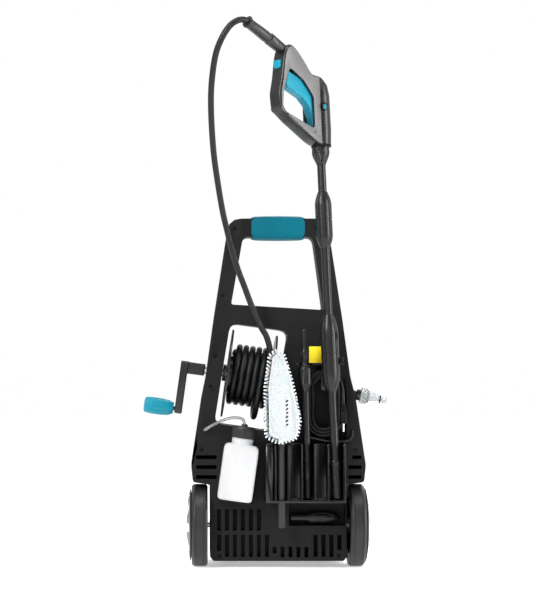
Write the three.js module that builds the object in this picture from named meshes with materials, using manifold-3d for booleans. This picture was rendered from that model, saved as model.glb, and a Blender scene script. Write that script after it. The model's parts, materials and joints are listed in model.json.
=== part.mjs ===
// Upright trolley pressure washer. Millimetres, +Z up, the user's side faces -Y.
// Each sub-part is one closed, named mesh. The group's origin is the middle of the base.

import * as THREE from "three";
import { mergeVertices } from "three/addons/utils/BufferGeometryUtils.js";
import Module from "manifold-3d";

const wasm = await Module();
wasm.setup();

// ---------------------------------------------------------------- driving dimensions

const gap = 0.3; // clearance between pieces that touch
const wall = 3.5; // moulded wall of the housings

// Frame: half widths of the trapezoid at each height
const frameTopZ = 818;
const frameTopHalf = 115;
const shoulderHalf = 151;
const shoulderZ = 584;
const facetTopHalf = 170;
const facetTopZ = 447;
const facetBottomHalf = 180;
const facetBottomZ = 398;
const hipHalf = 204;
const hipTopZ = 240;
const hipBottomZ = 200;
const baseHalf = 160;
const baseZ = 16;
const rearY = -30; // rear face of the upper frame
const lowerRearY = -58; // rear face of the lower body
const splitY = -2; // plane where the rear and front mouldings meet
const handleFrontY = 22;
const frontY = 72; // front face of the frame beside the reel
const frontBendZ = 470; // height where the front face starts to lean back
const coverTopZ = 318;
const coverFrontY = 185;

// Handle opening and grip
const handleOpeningTopZ = 775;
const handleOpeningTopHalf = 82;
const handleOpeningBottomHalf = 110;
const handleOpeningLeftZ = 616;
const handleOpeningRightZ = 603;
const gripHalf = 63;
const gripWall = 7;

// Hose reel, tilted about Y
const reelTilt = THREE.MathUtils.degToRad(8);
const reelCentre = [-67, 5, 447];
const flangeRadius = 104;
const flangeSpacing = 104;
const flangeThick = 4;
const drumRadius = 46;
const axleRadius = 10;
const hoseRadius = 7;
const coilRadius = 73;
const coilInnerStep = 59;
const crankRadius = 100;
const crankArmThick = 18;
const knobLength = 70;
const knobRadius = 20.5;

// Wheels
const wheelRadius = 96.5;
const tyreInner = 78;
const wheelInX = 165;
const wheelOutX = 203;
const wheelCapX = 216;
const wheelY = -12;
const wheelAxleRadius = 6;
const windowCount = 8; // windows in each wheel cap
const windowWidth = 22;
const windowIn = 44;
const windowOut = 74;

// Lance and gun, on one leaning axis
const lanceBase = [133.6, -92, 165.7];
const lanceLean = THREE.MathUtils.degToRad(-2.71);
const lanceTubeRadius = 10;
const lanceBore = 4;
const nozzleBottomH = -3.5;
const nozzleTopH = 88;
const lowerCouplingH = 245.5;
const lowerCouplingTopH = 424;
const collarH = 579;
const collarTopH = 708.7;
const gunCouplingH = 771.3;
const gunCouplingTopH = 812;
const lowerCouplingRadius = 21;
const collarRadius = 19.5;
const nozzleRadius = 12.5;
const gunTurn = THREE.MathUtils.degToRad(226);
const gunHalf = 18; // half thickness of the gun
const triggerHalf = 11.5;
const triggerPivot = [25, 856];
const triggerPull = 8; // degrees
const spareBase = [67, -84, 163];
const spareLean = THREE.MathUtils.degToRad(-1.31);
const spareRadius = 9.6;
const spareCouplingRadius = 17;

// Accessory tray
const trayLeft = -32;
const trayRight = 153;
const trayBottomZ = 155;
const trayTopZ = 291;
const trayBackY = lowerRearY - gap;
const trayRearY = -110;
const rib = 4.5;
const stemX = 5.4;
const stemRadius = 10;
const brushBackY = -103; // face of the brush's back plate towards the frame

// Bottle
const bottleCentre = [-95, -86.5, 224.6];
const bottleWidth = 81;
const bottleHeight = 132;
const bottleDepth = 55;
const neckRadius = 25;
const capRadius = 28;
const capHeight = 28;
const suctionRadius = 3.4;

// Inlet
const inletCentre = [178, -20, 406];
const inletTilt = THREE.MathUtils.degToRad(12);

// Switch, motor and pump
const switchPlace = [95, 440];
const switchStem = 7;
const switchBoxHalf = [25, 28];
const knobRadiusOut = 24;
const knobDeep = 20;
const motorAxis = [20, 76];
const motorRadius = 58;
const motorLow = 48;
const motorTop = 200;
const pumpRadius = 44;
const pumpTop = 262;
const pumpHeadTop = 300;

// Cable storage
const nicheLeft = 24;
const nicheRight = 158;
const nicheBottomZ = 292;
const cableCoilCentre = [106, -48, 384];
const cableCoilWidth = 90;
const cableCoilHeight = 160;
const cableCoilBand = 23;
const cableCoilDepth = 32;
const cableRadius = 3.75;

// ---------------------------------------------------------------- shape helpers

// A closed geometry as a solid that can be joined and cut.
function solid(geometry) {
  const plain = geometry.index ? geometry.toNonIndexed() : geometry.clone();
  plain.deleteAttribute("normal");
  plain.deleteAttribute("uv");
  const merged = mergeVertices(plain, 1e-3);
  return new wasm.Manifold(
    new wasm.Mesh({
      numProp: 3,
      vertProperties: merged.attributes.position.array,
      triVerts: new Uint32Array(merged.index.array),
    }),
  );
}

function geometryOf(body) {
  const mesh = body.getMesh();
  const geometry = new THREE.BufferGeometry();
  geometry.setAttribute("position", new THREE.BufferAttribute(new Float32Array(mesh.vertProperties), 3));
  geometry.setIndex(new THREE.BufferAttribute(new Uint32Array(mesh.triVerts), 1));
  return geometry;
}

function joined(first, ...others) {
  return others.reduce((whole, other) => whole.add(other), first);
}

function cut(body, ...tools) {
  return tools.reduce((rest, tool) => rest.subtract(tool), body);
}

// A closed outline through corners [a, b, radius]; each corner is rounded by a curve.
function outline(corners) {
  const shape = new THREE.Shape();
  const count = corners.length;
  corners.forEach(([a, b, radius = 0], i) => {
    const corner = new THREE.Vector2(a, b);
    const before = new THREE.Vector2(...corners[(i + count - 1) % count].slice(0, 2)).sub(corner);
    const after = new THREE.Vector2(...corners[(i + 1) % count].slice(0, 2)).sub(corner);
    const half = Math.abs(before.angleTo(after)) / 2;
    const longest = 0.48 * Math.min(before.length(), after.length());
    const reach = Math.min(radius / Math.tan(half), longest);
    const start = before.setLength(reach).add(corner);
    const end = after.setLength(reach).add(corner);
    if (i === 0) shape.moveTo(start.x, start.y);
    else shape.lineTo(start.x, start.y);
    if (radius > 0) shape.quadraticCurveTo(a, b, end.x, end.y);
  });
  shape.closePath();
  return shape;
}

// The same corners moved outward by distance; corners run counter-clockwise.
function grown(corners, distance) {
  const count = corners.length;
  return corners.map(([a, b, radius = 0], i) => {
    const [a0, b0] = corners[(i + count - 1) % count];
    const [a1, b1] = corners[(i + 1) % count];
    const first = new THREE.Vector2(b - b0, a0 - a).normalize();
    const second = new THREE.Vector2(b1 - b, a - a1).normalize();
    const way = first.clone().add(second).normalize();
    const far = distance / Math.max(way.dot(first), 0.3);
    return [a + way.x * far, b + way.y * far, radius > 0 ? Math.max(radius + distance, 0.5) : 0];
  });
}

function mirrored(corners) {
  return corners.map(([a, b, radius]) => [-a, b, radius]).reverse();
}

// An outline in X and Z, extruded along Y from low to high.
function slab(corners, low, high, segments = 3) {
  const geometry = new THREE.ExtrudeGeometry(outline(corners), {
    depth: high - low,
    bevelEnabled: false,
    curveSegments: segments,
  });
  geometry.rotateX(Math.PI / 2);
  geometry.translate(0, high, 0);
  return solid(geometry);
}

// An outline in Y and Z, extruded along X from low to high.
function beam(corners, low, high, segments = 3) {
  const geometry = new THREE.ExtrudeGeometry(outline(corners), {
    depth: high - low,
    bevelEnabled: false,
    curveSegments: segments,
  });
  geometry.rotateX(Math.PI / 2);
  geometry.rotateZ(Math.PI / 2);
  geometry.translate(low, 0, 0);
  return solid(geometry);
}

// An outline in X and Y, extruded along Z from low to high.
function plate(corners, low, high, segments = 3) {
  const geometry = new THREE.ExtrudeGeometry(outline(corners), {
    depth: high - low,
    bevelEnabled: false,
    curveSegments: segments,
  });
  geometry.translate(0, 0, low);
  return solid(geometry);
}

function block(low, high) {
  const size = high.map((value, i) => value - low[i]);
  const geometry = new THREE.BoxGeometry(...size);
  geometry.translate(...low.map((value, i) => value + size[i] / 2));
  return solid(geometry);
}

// A profile [radius, along] turned about an axis through at; along runs up Z, X or Y.
function turned(profile, { axis = "z", at = [0, 0, 0], segments = 20 } = {}) {
  const points = profile.map(([radius, along]) => new THREE.Vector2(radius, along));
  if (THREE.ShapeUtils.area(points) < 0) points.reverse();
  const geometry = new THREE.LatheGeometry(points, segments);
  if (axis === "z") geometry.rotateX(Math.PI / 2);
  if (axis === "x") geometry.rotateZ(-Math.PI / 2);
  geometry.translate(...at);
  return solid(geometry);
}

function rod(radius, low, high, options) {
  return turned([[0, low], [radius, low], [radius, high], [0, high]], options);
}

function ring(inner, outer, low, high, options) {
  return turned([[inner, low], [outer, low], [outer, high], [inner, high], [inner, low]], options);
}

// A round tube of a given radius along a smooth curve through points.
function tube(points, radius, steps, sides) {
  const section = new THREE.Shape();
  for (let i = 0; i < sides; i += 1) {
    const angle = (2 * Math.PI * i) / sides;
    const place = [radius * Math.cos(angle), radius * Math.sin(angle)];
    if (i === 0) section.moveTo(...place);
    else section.lineTo(...place);
  }
  section.closePath();
  const path = new THREE.CatmullRomCurve3(points.map((point) => new THREE.Vector3(...point)));
  const geometry = new THREE.ExtrudeGeometry(section, {
    steps,
    bevelEnabled: false,
    extrudePath: path,
    curveSegments: 1,
  });
  return solid(geometry);
}

// ---------------------------------------------------------------- finishes

const finishes = {
  housing: [0x212121, 0.55, 0],
  cover: [0x2a2a2a, 0.6, 0],
  glossBlack: [0x0c0c0c, 0.25, 0],
  satinBlack: [0x191919, 0.4, 0],
  teal: [0x177f97, 0.4, 0],
  gripTeal: [0x025a71, 0.6, 0],
  panelGrey: [0xa3a2a2, 0.4, 0],
  rubber: [0x161616, 0.8, 0],
  hose: [0x101010, 0.5, 0],
  steel: [0x9a9a9a, 0.3, 1],
  bottle: [0xe6e6e6, 0.4, 0],
  bristle: [0xe9e9e9, 0.8, 0],
  clear: [0xc9d3d6, 0.1, 0],
  castMetal: [0x77797a, 0.6, 1],
};

function materialOf(name) {
  const [color, roughness, metalness] = finishes[name];
  return new THREE.MeshStandardMaterial({ color, roughness, metalness });
}

const washer = new THREE.Group();
const cords = new THREE.Group();

function piece(name, body, finish, parent = washer) {
  const mesh = new THREE.Mesh(geometryOf(body), materialOf(finish));
  mesh.name = name;
  parent.add(mesh);
  return mesh;
}

function placed(position, turnY = 0, turnZ = 0) {
  const group = new THREE.Group();
  group.position.set(...position);
  group.rotation.set(0, turnY, turnZ, "YZX");
  return group;
}

// ---------------------------------------------------------------- frame

const rightSide = [
  [baseHalf - 8, baseZ, 0],
  [baseHalf, baseZ + 10, 0],
  [baseHalf, hipBottomZ - 6, 6],
  [hipHalf - 4, hipBottomZ, 8],
  [hipHalf, hipTopZ, 30],
  [facetBottomHalf, facetBottomZ, 0],
  [facetTopHalf, facetTopZ, 0],
  [shoulderHalf, shoulderZ, 0],
  [frameTopHalf, frameTopZ, 34],
];
const frameCorners = [...rightSide, ...mirrored(rightSide)];

const handleOpening = [
  [handleOpeningBottomHalf - 3, handleOpeningRightZ, 7],
  [handleOpeningTopHalf, handleOpeningTopZ, 18],
  [-handleOpeningTopHalf, handleOpeningTopZ, 14],
  [-handleOpeningBottomHalf, handleOpeningLeftZ, 5],
];

const reelOpening = [
  [-14, 317, 18],
  [26, 553, 20],
  [-112, 572, 20],
  [-150, 337, 18],
];

const farY = 300; // past every face along Y

// Slots for cooling air: rows of upright and level slots in the rear wall.
const slotPitch = 18.6;
const slotWidth = 9;
const slotHeight = 8.5;
const screwRadius = 4.6;
const screwDepth = 2.6;
const rearScrews = [
  [-102, 794, 0],
  [-129, 637, 0],
  [-147, 495, 0],
  [-160, 424, 1],
  [-179, 276, 1],
  [-137, 27, 1],
  [180, 276, 1],
  [141, 28, 1],
  [90, 798, 0],
];

function uprightSlot(x, low, high) {
  return block([x - slotWidth / 2, lowerRearY - 1, low], [x + slotWidth / 2, lowerRearY + wall + 1, high]);
}

function rearVents() {
  const slots = [];
  for (let i = 0; i < 6; i += 1) slots.push(uprightSlot(-139 + i * slotPitch, 87, 137));
  for (let i = 0; i < 7; i += 1) slots.push(uprightSlot(-139 + i * slotPitch, i === 0 ? 40 : 26, 77));
  for (let i = 0; i < 5; i += 1) slots.push(uprightSlot(-9.4 + i * slotPitch, i === 0 ? 34 : 25, 49));
  for (let i = 0; i < 4; i += 1) slots.push(uprightSlot(86.5 + i * slotPitch, i === 3 ? 42 : 26, 77));
  for (let i = 0; i < 3; i += 1) {
    const z = 258 - i * 23.2;
    slots.push(block([-192, lowerRearY - 1, z - 4], [-144.5, lowerRearY + wall + 1, z - 4 + slotHeight]));
    const right = i === 0 ? 172 : 162;
    slots.push(block([right, lowerRearY - 1, z - 4], [193, lowerRearY + wall + 1, z - 4 + slotHeight]));
  }
  return slots;
}

function screwHoles() {
  return rearScrews.map(([x, z, low]) => {
    const face = low ? lowerRearY : rearY;
    return rod(screwRadius, face - 1, face + screwDepth, { axis: "y", at: [x, 0, z], segments: 8 });
  });
}

const axleAt = [0, wheelY, wheelRadius];
const axleHole = rod(wheelAxleRadius + gap, -farY, farY, { axis: "x", at: axleAt, segments: 16 });

// The reel's axle hole runs along the reel's tilted axis.
function alongReel(body) {
  const geometry = geometryOf(body);
  geometry.rotateY(reelTilt);
  geometry.translate(...reelCentre);
  return solid(geometry);
}

const reelAxleHole = alongReel(rod(axleRadius + gap, -130, 95, { axis: "x", segments: 20 }));

function alongInlet(body) {
  const geometry = geometryOf(body);
  geometry.rotateY(inletTilt);
  geometry.translate(...inletCentre);
  return solid(geometry);
}

const bottleTilt = reelTilt;

function alongBottle(body) {
  const geometry = geometryOf(body);
  geometry.rotateY(bottleTilt);
  geometry.translate(...bottleCentre);
  return solid(geometry);
}

const recess = { left: 24, right: 156, low: 98.5, high: 154.5, back: -26 };

// Rear moulding: upper face, stepped lower body, cable niche, accessory recess and vents.
function rearFrame() {
  const stepProfile = [
    [splitY, baseZ - 1],
    [splitY, facetTopZ],
    [rearY, facetTopZ],
    [lowerRearY, facetBottomZ],
    [lowerRearY, baseZ - 1],
  ];
  const stepHollow = [
    [splitY + 1, baseZ],
    [splitY + 1, facetTopZ],
    [rearY + wall, facetTopZ - wall],
    [lowerRearY + wall, facetBottomZ - wall],
    [lowerRearY + wall, baseZ],
  ];
  const whole = slab(frameCorners, rearY, splitY).add(
    slab(frameCorners, lowerRearY, splitY).intersect(beam(stepProfile.reverse(), -farY, farY)),
  );
  const inner = grown(frameCorners, -wall);
  const hollow = slab(inner, rearY + wall, splitY + 1).add(
    slab(inner, lowerRearY + wall, splitY + 1).intersect(beam(stepHollow.reverse(), -farY, farY)),
  );
  const walls = joined(
    slab(grown(handleOpening, wall), -farY, farY),
    slab(grown(reelOpening, wall), -farY, farY),
    block([nicheLeft - wall, -farY, nicheBottomZ - wall], [nicheRight + wall, rearY + wall, facetTopZ + 6]),
    block(
      [recess.left - wall, -farY, recess.low - wall],
      [recess.right + wall, recess.back + wall, recess.high + wall],
    ),
  );
  const shell = cut(
    whole,
    cut(hollow, walls),
    slab(handleOpening, -farY, farY),
    slab(reelOpening, -farY, farY),
    block([nicheLeft, -farY, nicheBottomZ], [nicheRight, rearY, facetTopZ + 6]),
    block([recess.left, -farY, recess.low], [recess.right, recess.back, recess.high]),
    axleHole,
    reelAxleHole,
    alongInlet(rod(9 + gap, -60, 30, { axis: "x", segments: 16 })),
    rod(suctionRadius + 1, -80, -30, { axis: "y", at: [-172, 0, 322], segments: 12 }),
    ...rearVents(),
    ...screwHoles(),
  );
  const ledgeTop = -bottleHeight / 2 - gap;
  const ledge = alongBottle(
    joined(
      block([-37, -6, ledgeTop - 4], [41, 32, ledgeTop]),
      block([bottleWidth / 2 + gap, -6, ledgeTop - 4], [bottleWidth / 2 + 4, 32, ledgeTop + 9]),
    ),
  );
  return shell.add(ledge);
}

// The front face leans back from frontBendZ to a point above the handle.
const leanTopZ = frameTopZ + 10;
function frontFaceY(z) {
  return frontY + ((handleFrontY - frontY) * (z - frontBendZ)) / (leanTopZ - frontBendZ);
}

// Front moulding: closes the legs and the handle, and holds the switch.
function frontFrame() {
  const low = coverTopZ;
  const side = (inset) => [
    [splitY + gap - (inset ? 1 : 0), low + inset],
    [frontY - inset, low + inset],
    [frontY - inset, frontBendZ],
    [handleFrontY - inset, leanTopZ],
    [splitY + gap - (inset ? 1 : 0), leanTopZ],
  ];
  const whole = slab(frameCorners, splitY + gap, frontY).intersect(beam(side(0), -farY, farY));
  const inner = slab(grown(frameCorners, -wall), splitY - 1, frontY);
  const hollow = inner.intersect(beam(side(wall), -farY, farY));
  const walls = joined(
    slab(grown(handleOpening, wall), -farY, farY),
    slab(grown(reelOpening, wall), -farY, farY),
  );
  return cut(
    whole,
    cut(hollow, walls),
    slab(handleOpening, -farY, farY),
    slab(reelOpening, -farY, farY),
    reelAxleHole,
    rod(switchStem + gap, 50, 90, { axis: "y", at: [switchPlace[0], 0, switchPlace[1]], segments: 16 }),
  );
}

// Lower front cover over the motor and pump.
function motorCover() {
  const top = coverTopZ - gap;
  const side = (inset) => [
    [splitY + gap - (inset ? 1 : 0), baseZ + inset],
    [coverFrontY - 20 - inset, baseZ + inset],
    [coverFrontY - inset, baseZ + 25 + inset],
    [coverFrontY - 8 - inset, 190],
    [coverFrontY - 68 - inset, top - inset],
    [splitY + gap - (inset ? 1 : 0), top - inset],
  ];
  const plan = (inset) => [
    [-hipHalf - 5, splitY - 5],
    [hipHalf + 5, splitY - 5],
    [hipHalf + 5, 70 - inset],
    [baseHalf - inset, 112 - inset, 30],
    [baseHalf - 30 - inset, coverFrontY + 1 - inset, 30],
    [-baseHalf + 30 + inset, coverFrontY + 1 - inset, 30],
    [-baseHalf + inset, 112 - inset, 30],
    [-hipHalf - 5, 70 - inset],
  ];
  const shape = (corners, inset, back) =>
    slab(corners, back, coverFrontY + 2)
      .intersect(beam(side(inset), -farY, farY))
      .intersect(plate(plan(inset), 0, 400));
  const slots = [];
  for (let i = 0; i < 9; i += 1) {
    const x = (i - 4) * slotPitch;
    slots.push(block([x - slotWidth / 2, 150, 70], [x + slotWidth / 2, coverFrontY + 5, 150]));
  }
  return cut(
    shape(frameCorners, 0, splitY + gap),
    shape(grown(frameCorners, -wall), wall, splitY - 1),
    ...slots,
  );
}

piece("rear_frame", rearFrame(), "housing");
piece("front_frame", frontFrame(), "housing");
piece("motor_cover", motorCover(), "cover");

// Soft grip: a crowned sleeve round the handle bar.
function handleGrip() {
  const low = handleOpeningTopZ;
  const high = frameTopZ;
  const front = frontFaceY(low) + 1.6;
  const sleeve = beam(
    [
      [rearY - gripWall, low - gripWall, 14],
      [front + gripWall, low - gripWall, 14],
      [front + gripWall, high + gripWall, 18],
      [rearY - gripWall, high + gripWall, 18],
    ],
    -gripHalf,
    gripHalf,
    4,
  );
  const bar = block([-farY, rearY - gap, low - gap], [farY, front + gap, high + gap]);
  return cut(sleeve, bar);
}
piece("handle_grip", handleGrip(), "gripTeal");

for (const [side, name] of [[-1, "left"], [1, "right"]]) {
  const foot = turned([[0, 0], [14, 0], [17, baseZ - gap], [0, baseZ - gap]], { at: [side * 112, 140, 0] });
  piece(`foot_${name}`, foot, "rubber");
}

// ---------------------------------------------------------------- inside: motor, pump and switch

const motorAt = [...motorAxis, 0];
piece("motor", rod(motorRadius, motorLow, motorTop, { at: motorAt, segments: 24 }), "castMetal");
const pumpBody = joined(
  rod(pumpRadius, motorTop + gap, pumpTop, { at: motorAt, segments: 20 }),
  block(
    [motorAxis[0] - 40, motorAxis[1] - 30, pumpTop - 1],
    [motorAxis[0] + 40, motorAxis[1] + 30, pumpHeadTop],
  ),
);
piece("pump", pumpBody, "castMetal");
const [switchX, switchZ] = switchPlace;
const switchBox = block(
  [switchX - switchBoxHalf[0], 20, switchZ - switchBoxHalf[1]],
  [switchX + switchBoxHalf[0], frontY - wall - 8, switchZ + switchBoxHalf[1]],
);
piece("switch_box", switchBox, "glossBlack");
const knobAt = { axis: "y", at: [switchX, frontY, switchZ] };
const knobBody = joined(
  turned([[0, 0.8], [knobRadiusOut, 0.8], [knobRadiusOut - 2, knobDeep], [0, knobDeep]], knobAt),
  rod(switchStem, -wall - 6, 1, { ...knobAt, segments: 16 }),
  block(
    [switchX - 4, frontY + knobDeep - 1, switchZ - 20],
    [switchX + 4, frontY + knobDeep + 10, switchZ + 20],
  ),
);
piece("switch_knob", knobBody, "teal");

// ---------------------------------------------------------------- wheels

piece("wheel_axle", rod(wheelAxleRadius, -wheelOutX + 2, wheelOutX - 2, {
  axis: "x",
  at: [0, wheelY, wheelRadius],
  segments: 16,
}), "steel");

function wheelParts(side, name) {
  const centre = placed([0, wheelY, wheelRadius]);
  const tyre = ring(tyreInner, wheelRadius, wheelInX, wheelOutX, { axis: "x", segments: 36 });
  const hub = turned(
    [
      [wheelAxleRadius + gap, wheelInX + 2],
      [18, wheelInX + 2],
      [18, 184],
      [68, 184],
      [68, wheelInX + 2],
      [tyreInner - gap, wheelInX + 2],
      [tyreInner - gap, wheelOutX - 1],
      [68, wheelOutX - 1],
      [68, 192],
      [18, 192],
      [18, wheelOutX - 1],
      [wheelAxleRadius + gap, wheelOutX - 1],
      [wheelAxleRadius + gap, wheelInX + 2],
    ],
    { axis: "x", segments: 20 },
  );
  const dome = turned(
    [
      [0, wheelOutX + 1],
      [24, wheelOutX + 1],
      [24, wheelOutX - 1 + gap],
      [76, wheelOutX - 1 + gap],
      [76.5, wheelOutX + gap],
      [86, wheelOutX + 3],
      [70, wheelOutX + 8],
      [44, wheelOutX + 11.5],
      [20, wheelCapX],
      [0, wheelCapX],
    ],
    { axis: "x", segments: 24 },
  );
  const windows = [];
  for (let i = 0; i < windowCount; i += 1) {
    const box = new THREE.BoxGeometry(40, windowWidth, windowOut - windowIn);
    box.translate(wheelOutX + 10, 0, (windowOut + windowIn) / 2);
    box.rotateX((2 * Math.PI * i) / windowCount);
    windows.push(solid(box));
  }
  const cap = cut(dome, ...windows);
  const bodies = { [`tyre_${name}`]: [tyre, "rubber"], [`wheel_${name}`]: [hub, "satinBlack"] };
  bodies[`wheel_cap_${name}`] = [cap, "satinBlack"];
  for (const [node, [body, finish]] of Object.entries(bodies)) {
    const mesh = piece(node, body, finish, centre);
    if (side < 0) mesh.rotation.z = Math.PI;
  }
  washer.add(centre);
}
wheelParts(-1, "left");
wheelParts(1, "right");

// ---------------------------------------------------------------- hose reel and crank

const reel = placed(reelCentre, reelTilt);
washer.add(reel);
const flangeIn = flangeSpacing / 2 - flangeThick / 2;
const flangeOut = flangeIn + flangeThick;
const crankHubStart = -106;
const crankArmIn = -146;
const crankArmOut = crankArmIn - crankArmThick;

piece("reel_axle", rod(axleRadius, crankArmIn + 6, 92, { axis: "x", segments: 20 }), "steel", reel);
piece("reel_drum", ring(axleRadius + gap, drumRadius, -flangeIn + gap, flangeIn - gap, {
  axis: "x",
  segments: 24,
}), "satinBlack", reel);
for (const [side, name] of [[-1, "left"], [1, "right"]]) {
  const low = side < 0 ? -flangeOut : flangeIn;
  piece(`reel_flange_${name}`, ring(axleRadius + gap, flangeRadius, low, low + flangeThick, {
    axis: "x",
    segments: 32,
  }), "satinBlack", reel);
}
const bearing = ring(axleRadius + gap, 20, -63, -flangeOut - 1, { axis: "x", segments: 20 });
piece("reel_bearing", bearing, "glossBlack", reel);

function crankArm() {
  const hub = block([crankArmIn - 1, -14, -14], [crankHubStart, 14, 14]);
  const arm = beam(
    [
      [-11, -crankRadius - 11, 10],
      [11, -crankRadius - 11, 10],
      [13, 15, 5],
      [-13, 15, 5],
    ],
    crankArmOut,
    crankArmIn,
    4,
  );
  const bore = rod(axleRadius + gap, crankArmIn + 6 - gap, crankHubStart + 5, { axis: "x", segments: 20 });
  const pinHole = rod(5 + gap, crankArmOut - 5, crankArmIn - 6, {
    axis: "x",
    at: [0, 0, -crankRadius],
    segments: 12,
  });
  return cut(hub.add(arm), bore, pinHole);
}
piece("crank_arm", crankArm(), "satinBlack", reel);
const spindleEnd = crankArmOut - knobLength + 4;
piece("crank_spindle", rod(5, spindleEnd, crankArmIn - 6 - gap, {
  axis: "x",
  at: [0, 0, -crankRadius],
  segments: 12,
}), "satinBlack", reel);
const knobIn = crankArmOut - 3;
const knobOut = knobIn - knobLength;
const knob = turned(
  [
    [5 + gap, knobIn],
    [5 + gap, spindleEnd - gap],
    [0, spindleEnd - gap],
    [0, knobOut],
    [knobRadius - 6, knobOut],
    [knobRadius - 2, knobOut + 4],
    [knobRadius, knobOut + 22],
    [knobRadius, knobIn - 26],
    [knobRadius - 4, knobIn - 8],
    [knobRadius - 7, knobIn],
    [5 + gap, knobIn],
  ],
  { axis: "x", at: [0, 0, -crankRadius], segments: 24 },
);
piece("crank_knob", knob, "teal", reel);

// Wound hose: full layers, and a lower step at the right where the free end leaves.
const coilEnd = flangeIn - 1.5;
const coilStep = coilEnd - 2 * hoseRadius - 7;
piece("hose_coil", turned(
  [
    [drumRadius + gap, -coilEnd],
    [coilRadius, -coilEnd],
    [coilRadius, coilStep],
    [coilInnerStep, coilStep],
    [coilInnerStep, coilEnd],
    [drumRadius + gap, coilEnd],
    [drumRadius + gap, -coilEnd],
  ],
  { axis: "x", segments: 32 },
), "hose", reel);

// Free hose: off the reel's user side, up past the handle and over to the gun.
const hoseRoute = [
  [-24, -62, 444],
  [-20, -62, 478],
  [-21, -62, 513],
  [-29, -63, 541],
  [-40, -65, 560],
  [-53, -70, 587],
  [-67, -76, 620],
  [-81, -82, 657],
  [-95, -87, 693],
  [-112, -93, 749],
  [-121, -97, 785],
  [-130, -103, 822],
  [-143, -128, 893],
  [-153, -155, 963],
  [-159, -205, 1062],
  [-157, -232, 1110],
  [-149, -257, 1161],
  [-140, -268, 1186],
  [-126, -275, 1211],
  [-113, -276, 1226],
  [-95, -270, 1236],
  [-82.4, -262.6, 1236],
];
const hoseTube = tube(hoseRoute, hoseRadius, 44, 8);

// ---------------------------------------------------------------- lance

const lance = placed(lanceBase, lanceLean);
washer.add(lance);

piece("lance_nozzle", turned(
  [
    [lanceBore, nozzleBottomH],
    [nozzleRadius - 4, nozzleBottomH],
    [nozzleRadius - 2.4, nozzleBottomH + 3],
    [nozzleRadius - 0.6, 60],
    [nozzleRadius, 72],
    [nozzleRadius - 0.5, nozzleTopH - 1],
    [nozzleRadius - 1.5, nozzleTopH],
    [lanceBore, nozzleTopH],
    [lanceBore, nozzleBottomH],
  ],
  { segments: 20 },
), "satinBlack", lance);

function lanceTube(name, low, high) {
  piece(name, ring(lanceBore, lanceTubeRadius, low + gap, high - gap, { segments: 16 }), "satinBlack", lance);
}
lanceTube("lance_tube_lower", nozzleTopH, lowerCouplingH);
lanceTube("lance_tube_middle", lowerCouplingTopH, collarH);
lanceTube("lance_tube_upper", collarTopH, gunCouplingH);

// A spindle-shaped coupling: full round in the middle, drawn in at both ends.
function coupling(low, high, radius, waist) {
  const end = lanceTubeRadius + 1;
  const profile = [[lanceBore, low], [end, low]];
  for (const share of [0.06, 0.14, 0.24]) {
    const rise = Math.sin((share / 0.24) * (Math.PI / 2));
    profile.push([end + (radius - end) * rise, low + share * (high - low)]);
  }
  const middle = low + 0.5 * (high - low);
  profile.push([radius, middle - 3], [radius - waist, middle - 1.5]);
  profile.push([radius - waist, middle + 1.5], [radius, middle + 3]);
  for (const share of [0.24, 0.14, 0.06]) {
    const rise = Math.sin((share / 0.24) * (Math.PI / 2));
    profile.push([end + (radius - end) * rise, high - share * (high - low)]);
  }
  profile.push([end, high], [lanceBore, high], [lanceBore, low]);
  return turned(profile, { segments: 14 });
}
const lowerCoupling = coupling(lowerCouplingH, lowerCouplingTopH, lowerCouplingRadius, 0.8);
piece("lance_coupling", lowerCoupling, "satinBlack", lance);
piece("lance_collar", coupling(collarH, collarTopH, collarRadius, 1.2), "satinBlack", lance);
piece("gun_coupling", turned(
  [
    [lanceBore, gunCouplingH],
    [lanceTubeRadius + 1, gunCouplingH],
    [15, gunCouplingH + 9],
    [19.5, gunCouplingH + 22],
    [21.5, gunCouplingTopH - 8],
    [21.5, gunCouplingTopH - gap],
    [lanceBore, gunCouplingTopH - gap],
    [lanceBore, gunCouplingH],
  ],
  { segments: 20 },
), "satinBlack", lance);

// ---------------------------------------------------------------- spray gun

const gun = placed([0, 0, 0], 0, gunTurn);
lance.add(gun);

const gunCorners = [
  [14, gunCouplingTopH, 4],
  [112, 862, 14],
  [150, 888, 16],
  [153, 925, 10],
  [141, 962, 20],
  [124, 1034, 6],
  [111, 1046, 4],
  [90, 1031, 10],
  [64, 1006, 20],
  [37, 974, 10],
  [-8, 974, 12],
  [-22, gunCouplingTopH, 4],
];
const loopCorners = [
  [37, 850, 6],
  [146, 887, 7],
  [140, 931, 16],
  [116, 984, 5],
  [70, 959, 20],
  [37, 924, 16],
];
const triggerCorners = [
  [22, 850, 3],
  [33, 846, 3],
  [34, 875, 12],
  [46, 903, 14],
  [68, 921, 14],
  [116, 940, 5],
  [124, 947, 5],
  [114, 979, 5],
  [70, 962, 20],
  [33, 925, 16],
  [19, 872, 6],
];

function turnedAbout(corners, [a, b], degrees) {
  const angle = THREE.MathUtils.degToRad(degrees);
  const [c, s] = [Math.cos(angle), Math.sin(angle)];
  return corners.map(([x, y, radius]) => {
    const [right, up] = [x - a, y - b];
    return [a + c * right - s * up, b + s * right + c * up, radius];
  });
}

const sweptCorners = grown(triggerCorners, 1);
const slotHalf = triggerHalf + gap;
const gunSwept = joined(
  ...[-0.5, 1, 2.5, 4, 5.5, 7, triggerPull + 1].map((degrees) =>
    slab(turnedAbout(sweptCorners, triggerPivot, degrees), -slotHalf, slotHalf, 2),
  ),
);
const barrelProfile = [
  [0, gunCouplingTopH],
  [22.5, gunCouplingTopH],
  [24.5, 850],
  [24, 930],
  [20, 956],
  [12, 970],
  [0, 975],
];

const buttonPlace = [6, 903];
const buttonRadius = 6.5;
const releasePlace = [134, 993];
const releaseHalf = [9, 11];

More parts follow.
